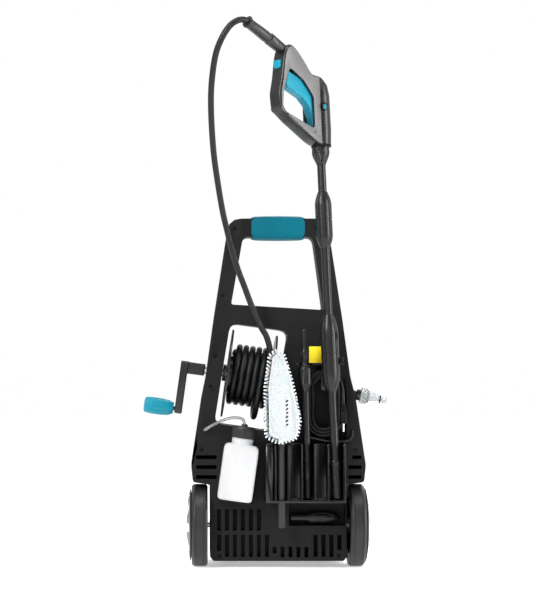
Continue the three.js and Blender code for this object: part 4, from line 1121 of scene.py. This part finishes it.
def reach(outline, ways):
    """How far the outline lies from the gun's middle along each unit direction; 0 where a ray misses it."""
    start = outline - GUN_MIDDLE
    edge = np.roll(outline, -1, 0) - outline
    across = ways[:, None, 0] * edge[None, :, 1] - ways[:, None, 1] * edge[None, :, 0]
    across = np.where(np.abs(across) < 1e-9, 1e-9, across)
    away = (start[None, :, 0] * edge[None, :, 1] - start[None, :, 1] * edge[None, :, 0]) / across
    share = (start[None, :, 0] * ways[:, None, 1] - start[None, :, 1] * ways[:, None, 0]) / across
    hit = (share >= 0) & (share <= 1) & (away > 0)
    return np.where(hit, away, 0).max(1)


def rounder(far, passes):
    """Reaches all the way round, each drawn to the mean of its neighbours a number of times."""
    for _ in range(passes):
        far = 0.25 * np.roll(far, 1) + 0.5 * far + 0.25 * np.roll(far, -1)
    return far


def gun_reaches(ways):
    """The handle's outer side and the hand opening's side, with their corners softened."""
    return rounder(reach(rounded(GUN_OUTLINE), ways), 60), rounder(reach(rounded(GUN_LOOP), ways), 14)


def gun_ring(section, count=360):
    """A ring round the hand opening. Each section point is (reach along every direction, depth)."""
    angle = np.linspace(0, 2 * math.pi, count, endpoint=False)
    ways = np.stack([np.cos(angle), np.sin(angle)], -1)
    rows = []
    for far, depth in section(ways):
        flat = GUN_MIDDLE + ways * far[:, None]
        rows.append(np.column_stack([flat[:, 0], np.full(count, depth), flat[:, 1]]))
    rows = np.array(rows)
    return rows.reshape(-1, 3), grid_faces(len(rows), count, True)


def rolled(face, near, far, edge, steps=5):
    """Section points over a face at that depth: its inner and its outer corner, each rounded by edge."""
    turn = np.linspace(0, math.pi / 2, steps + 1)
    drop = math.copysign(edge, face)
    inner = [(near + edge * (1 - math.cos(t)), face - drop * (1 - math.sin(t))) for t in turn]
    outer = [(far - edge * (1 - math.cos(t)), face - drop * (1 - math.sin(t))) for t in turn[::-1]]
    return inner, outer


def gun_shells():
    """The two halves with a slot cleared for the trigger's whole swing, and the barrel with a flat on one side."""
    swept = [PIVOT + (rounded(TRIGGER) - PIVOT) @ np.array([[math.cos(a), math.sin(a)], [-math.sin(a), math.cos(a)]])
             for a in np.radians(np.linspace(-0.5, PULL + 1, 8))]

    def half(side):
        def section(ways):
            outer, loop = gun_reaches(ways)
            slot = np.max([reach(outline, ways) for outline in swept], axis=0) + 1.0
            slot = np.minimum(np.maximum(slot, loop + 0.5), outer - 3.5)
            inner, _ = rolled(GUN_HALF * side, loop, outer, 1.6)
            _, wide = rolled(GUN_HALF * side, loop, outer, 6.0, 8)
            return [(slot, 0.15 * side), (slot, 12.2 * side), (loop, 12.2 * side), *inner, *wide,
                    (outer, 0.15 * side)]
        return section

    for name, side in (("left", 1), ("right", -1)):
        points, faces = gun_ring(half(side))
        piece(f"gun_half_{name}", GUN(points), faces, "gun", "lance", "gun_plastic", [f"gun_shell_{name}"], sharp=50)
    profile = rounded([(0.3, 811.9), (22.6, 811.9, 2), (24.7, 850, 40), (24.3, 930, 30), (20, 956, 20), (12, 970, 10),
                       (0.3, 975)], 8, loop=False)
    profile = respaced(profile, 4)

    def flattened(angle, along, size):
        return np.where(np.cos(angle) > 0.1, np.minimum(size, 21.2 / np.maximum(np.cos(angle), 0.1)), size), along

    points, faces = lathe(profile, 96, change=flattened)
    piece("gun_barrel", GUN(points + BARREL), faces, "gun", "lance", "gun_plastic")
    ring = lathe([(22.9, 812), (23.3, 812), (23.3, 818), (22.9, 818)], 96, loop=True)
    piece("gun_barrel_band", GUN(ring[0] + BARREL), ring[1], "dark", "lance", "gun_plastic")


def gun_panel():
    """The grey panel: a ring inside the gun's outline, cut straight beside the barrel, with three short ribs."""
    def section(ways):
        outer, loop = gun_reaches(ways)
        limit = np.where(ways[:, 0] < -0.05, (GUN_MIDDLE[0] - 14.5) / np.maximum(-ways[:, 0], 0.05), 1e3)
        outer = np.minimum(outer - np.minimum(5.5, 0.45 * (outer - loop)), limit)
        near, far = rolled(18.6, loop + 0.5, outer, 0.7, 3)
        return [(loop + 0.5, 15.2), *near, *far, (outer, 15.2)]

    points, faces = gun_ring(section)
    piece("gun_panel_grey", GUN(points), faces, "panel", "lance", "gun_panel", ["gun_side_panel"], sharp=45)
    ribs = []
    for x, top in ((18.5, 872), (22.5, 872), (26.5, 868)):
        outline = rounded([(x - 0.8, 836, 0.7), (x + 0.8, 836, 0.7), (x + 0.8, top, 0.7), (x - 0.8, top, 0.7)])
        ribs.append(slab(outline, 18.3, 19.1, edge=0.35))
    points, faces = merged(*ribs)
    piece("gun_panel_ribs", GUN(points), faces, "grey", "lance", "gun_panel")
    spots = [GUN.moved([a, 19.0, b]).along([0, 1, 0]) for a, b in ((131, 878.6), (38, 842.5))]
    screws("gun_screws", spots, 2.4, "lance", "gun_plastic")


def gun_controls():
    """Trigger, safety button and its ring, hose release, and the sleeve that the hose comes into."""
    points, faces = slab(rounded(TRIGGER), -11.5, 11.5, edge=3.6, steps=6)
    piece("gun_trigger_lever", GUN(points), faces, "trigger", "trigger", "teal_plastic", ["gun_trigger"])
    button = [(0.3, 26), (2.6, 25.7), (4.8, 24.7), (6.1, 23), (6.4, 21), (6.4, -17), (5.6, -19.2), (0.3, -20)]
    points, faces = lathe(button, 40, "y")
    place = GUN.moved([6, 0, 903])
    piece("gun_safety_cap", place(points), faces, "teal", "safety_button", "teal_plastic", ["gun_safety_button"])
    points, faces = lathe(rounded([(6.9, 18), (10, 18, 1), (9.4, 24.4, 1.2), (6.9, 24.4, 0.8)]), 48, "y", loop=True)
    piece("gun_safety_ring", place(points), faces, "dark", "lance", "gun_plastic")
    outline = rounded([(125, 982, 2), (142, 982, 6), (145, 1000, 7), (125, 1004, 3)])
    points, faces = slab(outline, -9, 9, edge=3.6)
    piece("hose_release_cap", GUN(points), faces, "teal", "release_button", "teal_plastic", ["hose_release_button"])
    rings = [(0.4, -9), (11.6, -9), (13.2, -6), (13.7, 6), (13.9, 20), (13.9, 42), (12.4, 45.5), (11.8, 46),
             (11.8, 50), (13.2, 51.5), (13.5, 56), (12.6, 84), (12.3, 110), (13.2, 113), (13.9, 115.5),
             (13.9, 118), (13.1, 118.9), (0.4, 119)]
    points, faces = lathe(rings, 56)
    piece("hose_connector_sleeve", CONNECTOR(points), faces, "gun", "lance", "gun_plastic", ["hose_connector"])


def spare_lance():
    """A ribbed nozzle, a plain pipe, a wide grooved coupling and a stud with a cross bar."""
    rings = [(0.3, 0), (6.6, 0), (8.6, 2)]
    for i in range(10):
        low, size = 3.4 + 4.4 * i, 8.8 + 0.04 * i
        rings += [(size, low), (size, low + 2.6), (size - 0.7, low + 3.0), (size - 0.7, low + 4.0)]
    rings += [(9.3, 50), (9.5, 84), (9.0, 85.6), (0.3, 85.6)]
    points, faces = lathe(rings, 48)
    piece("spare_nozzle_ribbed", SPARE(points), faces, "lance", "spare_lance", "lance_plastic", ["spare_nozzle"])
    rod = rounded([(0.3, 86.2), (8.5, 86.2, 1), (8.5, 250, 6), (16.4, 265, 8), (16.9, 300, 6), (15.6, 305, 2),
                   (8, 311, 3), (6.9, 326, 2), (8.3, 330, 1.5), (8.3, 342, 1.5), (5.9, 346, 1.5), (5.9, 393, 1.5),
                   (0.3, 393.6)], 5, loop=False)
    rod = respaced(rod, 2.5)

    def grooved(angle, along, size):
        place = np.clip(np.abs(along - 274) / 30, 0, 1)
        cut = np.clip((6.5 * (1 - place**3) - off_line(angle, 4, size)) / 1.8, 0, 1) * (place < 1)
        return size - 2.0 * eased_step(cut), along

    points, faces = lathe(rod, 96, change=grooved)
    bar = slab(rounded([(-10, 331, 1), (10, 331, 1), (10, 341, 1), (-10, 341, 1)]), -3, 3, edge=0.8)
    points, faces = merged((points, faces), bar)
    piece("spare_lance_rod", SPARE(points), faces, "lance", "spare_lance", "lance_plastic", ["spare_lance"])


lance()
gun_shells()
gun_panel()
gun_controls()
spare_lance()


# ---------------------------------------------------------------- tray, clip, hooks and short nozzle

softened("accessory_tray", "tray", "tray_shell", edge=1.2)
softened("lance_clip", "tray", "lance_clip_bar", edge=1.0)
softened("cable_hook_top", "tray", "cable_hook_upper", edge=1.4, segments=3)
softened("cable_hook_bottom", "tray", "cable_hook_lower", edge=1.4, segments=3)


def short_nozzle():
    """A short nozzle that lies in its recess, with curved grooves on its wide part."""
    profile = rounded([(0.3, 29), (8.8, 29, 1), (9.3, 66, 2), (12, 70, 2), (13.3, 78, 5), (13.3, 112, 10),
                       (10, 130, 6), (6, 140, 3), (0.3, 145.6)], 5, loop=False)
    profile = respaced(profile, 1.6)

    def grooved(angle, along, size):
        place = np.clip((along - 76) / 54, 0, 1)
        turned = angle * 6 / (2 * math.pi) + 0.35 * np.sin(math.pi * place)
        off = np.abs(turned % 1 - 0.5) * 2 * math.pi / 6 * size
        half = 3.1 * np.sin(math.pi * place) ** 0.5
        ring = ((along > 32) & (along < 60)) * 0.5 * (np.sin(along * 2 * math.pi / 4.4) > 0.2)
        return size - 1.6 * np.clip((half - off) / 1.0, 0, 1) - ring * (size > 5), along

    points, faces = lathe(profile, 96, "x", change=grooved)
    piece("short_nozzle", design_at(0, -43, 116)(points), faces, "lance", "accessory_nozzle", "lance_plastic",
          ["accessory_nozzle"])


short_nozzle()


# ---------------------------------------------------------------- wash brush

BRUSH = [(-34, 308, 14), (0, 292, 22), (40, 304, 22), (48, 346, 20), (28, 440, 40), (10, 498, 16), (-8, 510, 12),
         (-26, 496, 14), (-36, 420, 40)]
PLATE_Y = -114.0  # the back plate's face that holds the tufts
BRISTLE_Y = -151.5  # the tips
GAP = ((15.0, 331.0), (15.0, 400.0))  # ends of the bare line up the middle
RIM_DROP, INNER_DROP = 9.0, 4.0  # how far the rim's tufts stand in from the edge, on the left and elsewhere
FIBRES = 40  # to a tuft


def within(points, outline):
    """True for the points inside a closed outline, by counting the edges that cross a ray."""
    a, b = outline, np.roll(outline, -1, 0)
    above = (a[None, :, 1] > points[:, None, 1]) != (b[None, :, 1] > points[:, None, 1])
    rise = np.where(np.abs(b[:, 1] - a[:, 1]) < 1e-9, 1e-9, b[:, 1] - a[:, 1])
    cross = a[:, 0] + (points[:, None, 1] - a[:, 1]) * (b[:, 0] - a[:, 0]) / rise
    return ((above & (points[:, None, 0] < cross)).sum(1) % 2) == 1


def nearest(points, outline):
    """Distance from each point to the outline, and the unit direction towards it."""
    away = outline[None] - points[:, None]
    size = np.linalg.norm(away, axis=2)
    best = size.argmin(1)
    rows = np.arange(len(points))
    return size[rows, best], away[rows, best] / np.maximum(size[rows, best], 1e-6)[:, None]


def tufts_of(outline):
    """Tuft places in a staggered grid and then round the rim, how far each leans, and which are on the rim."""
    fine = ring_line(outline, 1.0)
    rows = enumerate(np.arange(294, 510, 6.2))
    grid = np.array([(x + 3.5 * (row % 2), z) for row, z in rows for x in np.arange(-38, 58, 7.2)])
    grid = grid[within(grid, outline)]
    far, towards = nearest(grid, fine)
    grid = grid[far > np.where(towards[:, 0] < -0.3, 12.5, 6.5)]
    gap_z = np.clip(grid[:, 1], GAP[0][1], GAP[1][1])
    grid = grid[np.hypot(grid[:, 0] - GAP[0][0], grid[:, 1] - gap_z) > 4.6]
    rim_line = ring_line(outline, 8.2)[:-1]
    _, way = nearest(rim_line, outline + 30 * outward(outline))
    left = way[:, :1] < -0.3
    places = np.vstack([grid, rim_line - np.where(left, RIM_DROP, INNER_DROP) * way])
    far, towards = nearest(places, fine)
    lean = np.clip(1 - far / 16, 0, 1)[:, None] * towards * 4.2
    on_rim = np.arange(len(places)) >= len(grid)
    lean[on_rim] = way * np.where(left, 10.5, 3.8)
    return places, lean, on_rim


def fibres(outline):
    """Three-sided fibres. Each spreads from its tuft's middle and bends towards its lean: offset = lean * s^1.6."""
    random = np.random.default_rng(7)
    places, lean, on_rim = tufts_of(outline)
    count = len(places) * FIBRES
    disc = np.sqrt(random.random(count))
    turn = random.random(count) * 2 * math.pi
    spread = np.stack([disc * np.cos(turn), disc * np.sin(turn)], -1)
    rim_fibre = np.repeat(on_rim, FIBRES)
    root = np.repeat(places, FIBRES, 0) + np.where(rim_fibre, 3.0, 1.8)[:, None] * spread
    tip = np.repeat(places, FIBRES, 0) + np.repeat(lean, FIBRES, 0) + np.where(rim_fibre, 0.9, 4.4)[:, None] * spread
    tip = tip + random.normal(0, 0.3, tip.shape)
    depth = BRISTLE_Y + 1.8 * random.random(count) + np.where(rim_fibre, 5.0 * random.random(count), 0)
    share = np.array([0.0, 0.5, 1.0])
    angle = np.array([0.0, 2.1, 4.2])
    size = np.array([0.85, 0.9, 0.8])
    flat = root[:, None] + (tip - root)[:, None] * (share**1.6)[None, :, None]
    deep = PLATE_Y + 1.0 + (depth[:, None] - PLATE_Y - 1.0) * share[None]
    x = flat[:, :, None, 0] + size[None, :, None] * np.cos(angle)
    z = flat[:, :, None, 1] + size[None, :, None] * np.sin(angle)
    y = np.repeat(deep[:, :, None], 3, 2)
    points = np.stack([x, y, z], -1).reshape(-1, 3)
    base = 9 * np.arange(count)[:, None]
    faces = []
    for level in (0, 3):
        for side in range(3):
            beside = (side + 1) % 3
            faces += (base + np.array([level + side, level + beside, level + 3 + beside, level + 3 + side])).tolist()
    for end in ([2, 1, 0], [6, 7, 8]):
        faces += (base + np.array(end)).tolist()
    made = piece("brush_fibres", DESIGN(points), [tuple(face) for face in faces], "bristle", "brush", "bristle",
                 ["brush_bristles"])
    layer = made.data.attributes.new("tip", "FLOAT", "POINT")
    layer.data.foreach_set("value", np.tile(np.repeat(share, 3), count).astype(np.float32))


def bristles():
    """The fibres, the pale mass they make together, and a bare line of dark dashes up its middle, which paint the
    black back plate and the shade seen down in the gap.
    """
    outline = rounded(BRUSH, 10)
    normal = outward(outline)
    core = outline - np.where(normal[:, :1] < -0.3, 9.5, 4.0) * normal
    points, faces = slab(core, PLATE_Y + 0.4, BRISTLE_Y + 5.0, edge=7.0, steps=6)
    piece("brush_core", DESIGN(points), faces, "core", "brush", "bristle")
    # dark dashes: the back plate's own black down the bare line, with painted shade in the gap
    dashes = [slab(rounded([(11.6, z, 0.8), (17.4, z + 3.2, 0.8), (18.2, z + 7.4, 0.8), (12.4, z + 4.6, 0.8)]),
                   -148.4, -146.2, edge=0.3) for z in range(333, 396, 9)]
    points, faces = merged(*dashes)
    piece("brush_gap_plate_and_shade", DESIGN(points), faces, "dark", "brush", "bristle")
    fibres(outline)


def brush():
    """The back plate in the brush's outline, a round stem into the tray, and a neck that joins them."""
    outline = rounded(BRUSH, 8)
    plate = outline - 5 * outward(outline)
    points, faces = slab(plate, PLATE_Y, -103.2, edge=2.6)
    stem, stem_faces = lathe([(0.3, 97), (8.6, 97), (9.8, 98.6), (9.8, 331), (0.3, 332)], 48)
    neck = slab(rounded([(-3.6, 300, 3), (14.4, 300, 3), (14.4, 334, 6), (-3.6, 334, 6)]), -105, -95, edge=2)
    points, faces = merged((points, faces), (stem + np.array([5.4, -96, 0]), stem_faces), neck)
    piece("brush_handle", DESIGN(points), faces, "brush", "brush", "brush_plastic", ["brush_back"])


brush()
bristles()


# ---------------------------------------------------------------- detergent bottle

def bottle():
    """A blown box with soft edges, a shoulder and a round neck: superellipses that turn to circles at the neck."""
    height = [-66, -65.6, -64, -61, -56, 40, 54, 60, 63.5, 65.2, 66, 66.6, 68, 79.6, 80]
    wide = [30, 35.5, 38.4, 39.8, 40.3, 40.3, 40.1, 38.8, 36, 32, 27.5, 24.8, 24.4, 24.4, 23.6]
    deep = [19, 23.6, 25.8, 26.9, 27.3, 27.3, 27.2, 26.6, 25.6, 24.8, 24.5, 24.4, 24.4, 24.4, 23.6]
    power = [4, 4.6, 5.2, 5.6, 5.8, 5.8, 5.6, 5.0, 4.2, 3.2, 2.5, 2.1, 2, 2, 2]
    points, faces = stacked(np.array(height), wide, deep, power, 128)
    piece("bottle_body", BOTTLE(points), faces, "bottle", "bottle", "bottle_plastic", ["detergent_bottle"], sharp=60)
    profile = rounded([(0.3, 80.3), (27.4, 80.3, 0.6), (27.4, 101.5, 2), (24, 107.6, 2), (0.3, 107.8)], 5, loop=False)
    profile = respaced(profile, 1.5)

    def ribbed(angle, along, size):
        on_side = (size > 27) & (along > 82.5) & (along < 101)
        return size - 0.7 * on_side * (np.abs(np.sin(18 * angle)) < 0.45), along

    points, faces = lathe(profile, 216, change=ribbed)
    piece("bottle_cap_ribbed", BOTTLE(points), faces, "cap", "bottle", "cap_plastic", ["bottle_cap"])
    socket = lathe(rounded([(3.6, 107.6), (8, 107.6, 0.8), (6.4, 113, 1), (3.6, 113, 0.4)]), 32, loop=True)
    piece("bottle_cap_socket", BOTTLE(socket[0]), socket[1], "cap", "bottle", "cap_plastic")


def suction_tube():
    """A clear tube from the body to the cap."""
    top = (BOTTLE([0, 0, 108.4]) - DESIGN.origin) / MM
    up = BOTTLE.axes[2]
    route = [(-172, -50, 322), (-172, -64, 322), (-162, -72, 329), (-136, -82, 343), (-110, top[1], top[2] + 19),
             (top[0] - 5, top[1], top[2] + 16), tuple(top + 2.2 * up)]
    path = smooth_path(DESIGN(route), 0.0025)
    made = piece("suction_hose", *tube(path, 3.4 * MM, 20), "clear_tube", None, "clear_tube", ["suction_tube"])
    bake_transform(made)


bottle()
suction_tube()


# ---------------------------------------------------------------- water inlet

def inlet():
    """A black collar, a clear ribbed nut that turns, and a clear filter bowl with a hose nipple."""
    collar = rounded([(0.3, -14), (8.8, -14), (8.8, 6.6, 0.5), (13.4, 7.6, 0.8), (13.4, 15.8, 0.8), (0.3, 15.9)],
                     loop=False)
    points, faces = lathe(collar, 48, "x")
    piece("inlet_base", INLET(points), faces, "inlet", "root", "inlet_plastic", ["inlet_collar"])

    def ribbed(angle, along, size):
        on_side = (size > 17.5) & (along > 18) & (along < 30.5)
        return size - 1.5 * on_side * (0.5 + 0.5 * np.cos(16 * angle)), along

    nut = rounded([(8.2, 16.4, 0.3), (18.7, 16.4, 1.2), (18.7, 31.8, 1.2), (8.2, 31.8, 0.3)], 4)
    nut = ring_line(nut, 1.6)[:-1]
    points, faces = lathe(nut, 160, "x", loop=True, change=ribbed)
    piece("inlet_ring", INLET(points), faces, "clear", "inlet_nut", "clear_plastic", ["inlet_nut"])
    bowl = rounded([(0.3, 16.8), (7.4, 16.8), (7.4, 32.4, 0.5), (13.6, 32.6, 1), (12.8, 44, 3), (10.4, 57, 3),
                    (7.4, 60, 1), (7.4, 69.6, 1), (8.4, 72, 1), (8.4, 77, 1), (6, 79.8, 1), (0.3, 80)], 5, loop=False)
    points, faces = lathe(bowl, 64, "x")
    piece("inlet_bowl", INLET(points), faces, "clear", "root", "clear_plastic", ["inlet_filter_bowl"])
    band = rounded([(13.2, 33, 0.4), (14.6, 33, 0.6), (14.4, 37.4, 0.6), (13.0, 37.4, 0.4)])
    points, faces = lathe(band, 64, "x", loop=True)
    piece("inlet_bowl_band", INLET(points), faces, "grey", "root", "clear_plastic")
    seal = rounded([(7.5, 62.4, 1), (9.3, 62.4, 1.1), (9.3, 65, 1.1), (7.5, 65, 1)])
    points, faces = lathe(seal, 48, "x", loop=True)
    piece("inlet_seal", INLET(points), faces, "dark", "root", "clear_plastic")


inlet()


# ---------------------------------------------------------------- light, floor and view transform

def studio():
    """A bright, even room: a white surround whose light falls off evenly from behind the washer to the front."""
    world = bpy.data.worlds.new("surround")
    bpy.context.scene.world = world
    world.use_nodes = True
    tree = world.node_tree
    tree.nodes.clear()
    direction = tree.nodes.new("ShaderNodeTexCoord")
    split = tree.nodes.new("ShaderNodeSeparateXYZ")
    tree.links.new(direction.outputs["Generated"], split.inputs[0])
    level = tree.nodes.new("ShaderNodeMapRange")
    level.inputs["From Min"].default_value = -0.75
    level.inputs["From Max"].default_value = 0.35
    level.inputs["To Min"].default_value = 0.10
    level.inputs["To Max"].default_value = 0.95
    tree.links.new(split.outputs["Y"], level.inputs["Value"])
    ray = tree.nodes.new("ShaderNodeLightPath")
    lit = tree.nodes.new("ShaderNodeBackground")
    tree.links.new(level.outputs[0], lit.inputs["Strength"])
    seen = tree.nodes.new("ShaderNodeBackground")
    seen.inputs["Strength"].default_value = 1.0
    for background in (lit, seen):
        background.inputs["Color"].default_value = (1, 1, 1, 1)
    mix = tree.nodes.new("ShaderNodeMixShader")
    tree.links.new(ray.outputs["Is Camera Ray"], mix.inputs["Fac"])
    tree.links.new(lit.outputs[0], mix.inputs[1])
    tree.links.new(seen.outputs[0], mix.inputs[2])
    output = tree.nodes.new("ShaderNodeOutputWorld")
    tree.links.new(mix.outputs[0], output.inputs["Surface"])

    target = DESIGN([0, 0, 550])
    soft_light("key", DESIGN([-1700, -2100, 2100]), target, (0.7, 1.8), 95)
    soft_light("fill", DESIGN([2200, -900, 1100]), target, (0.5, 2.0), 55)
    soft_light("rim", DESIGN([600, 2000, 2200]), target, (1.6, 0.8), 30)
    soft_light("front", DESIGN([-200, -3600, 1500]), target, (1.6, 1.0), 14)
    soft_light("top", DESIGN([-150, -700, 2700]), target, (1.2, 0.5), 22)


def floor():
    """A wide, plain, pale floor that glows faintly, to come close to the white of the surround."""
    mesh = bpy.data.meshes.new("floor")
    half = 14.0
    mesh.from_pydata([(-half, -half, 0), (half, -half, 0), (half, half, 0), (-half, half, 0)], [], [(0, 1, 2, 3)])
    recipe = Recipe("floor")
    recipe.finish(Base_Color=(0.9, 0.9, 0.9), Roughness=0.6, Specular_IOR_Level=0.2,
                  Emission_Color=(1, 1, 1, 1), Emission_Strength=0.42)
    mesh.materials.append(recipe.material)
    made = bpy.data.objects.new("floor", mesh)
    bpy.context.scene.collection.objects.link(made)


studio()
floor()
bpy.context.scene.view_settings.view_transform = "Standard"
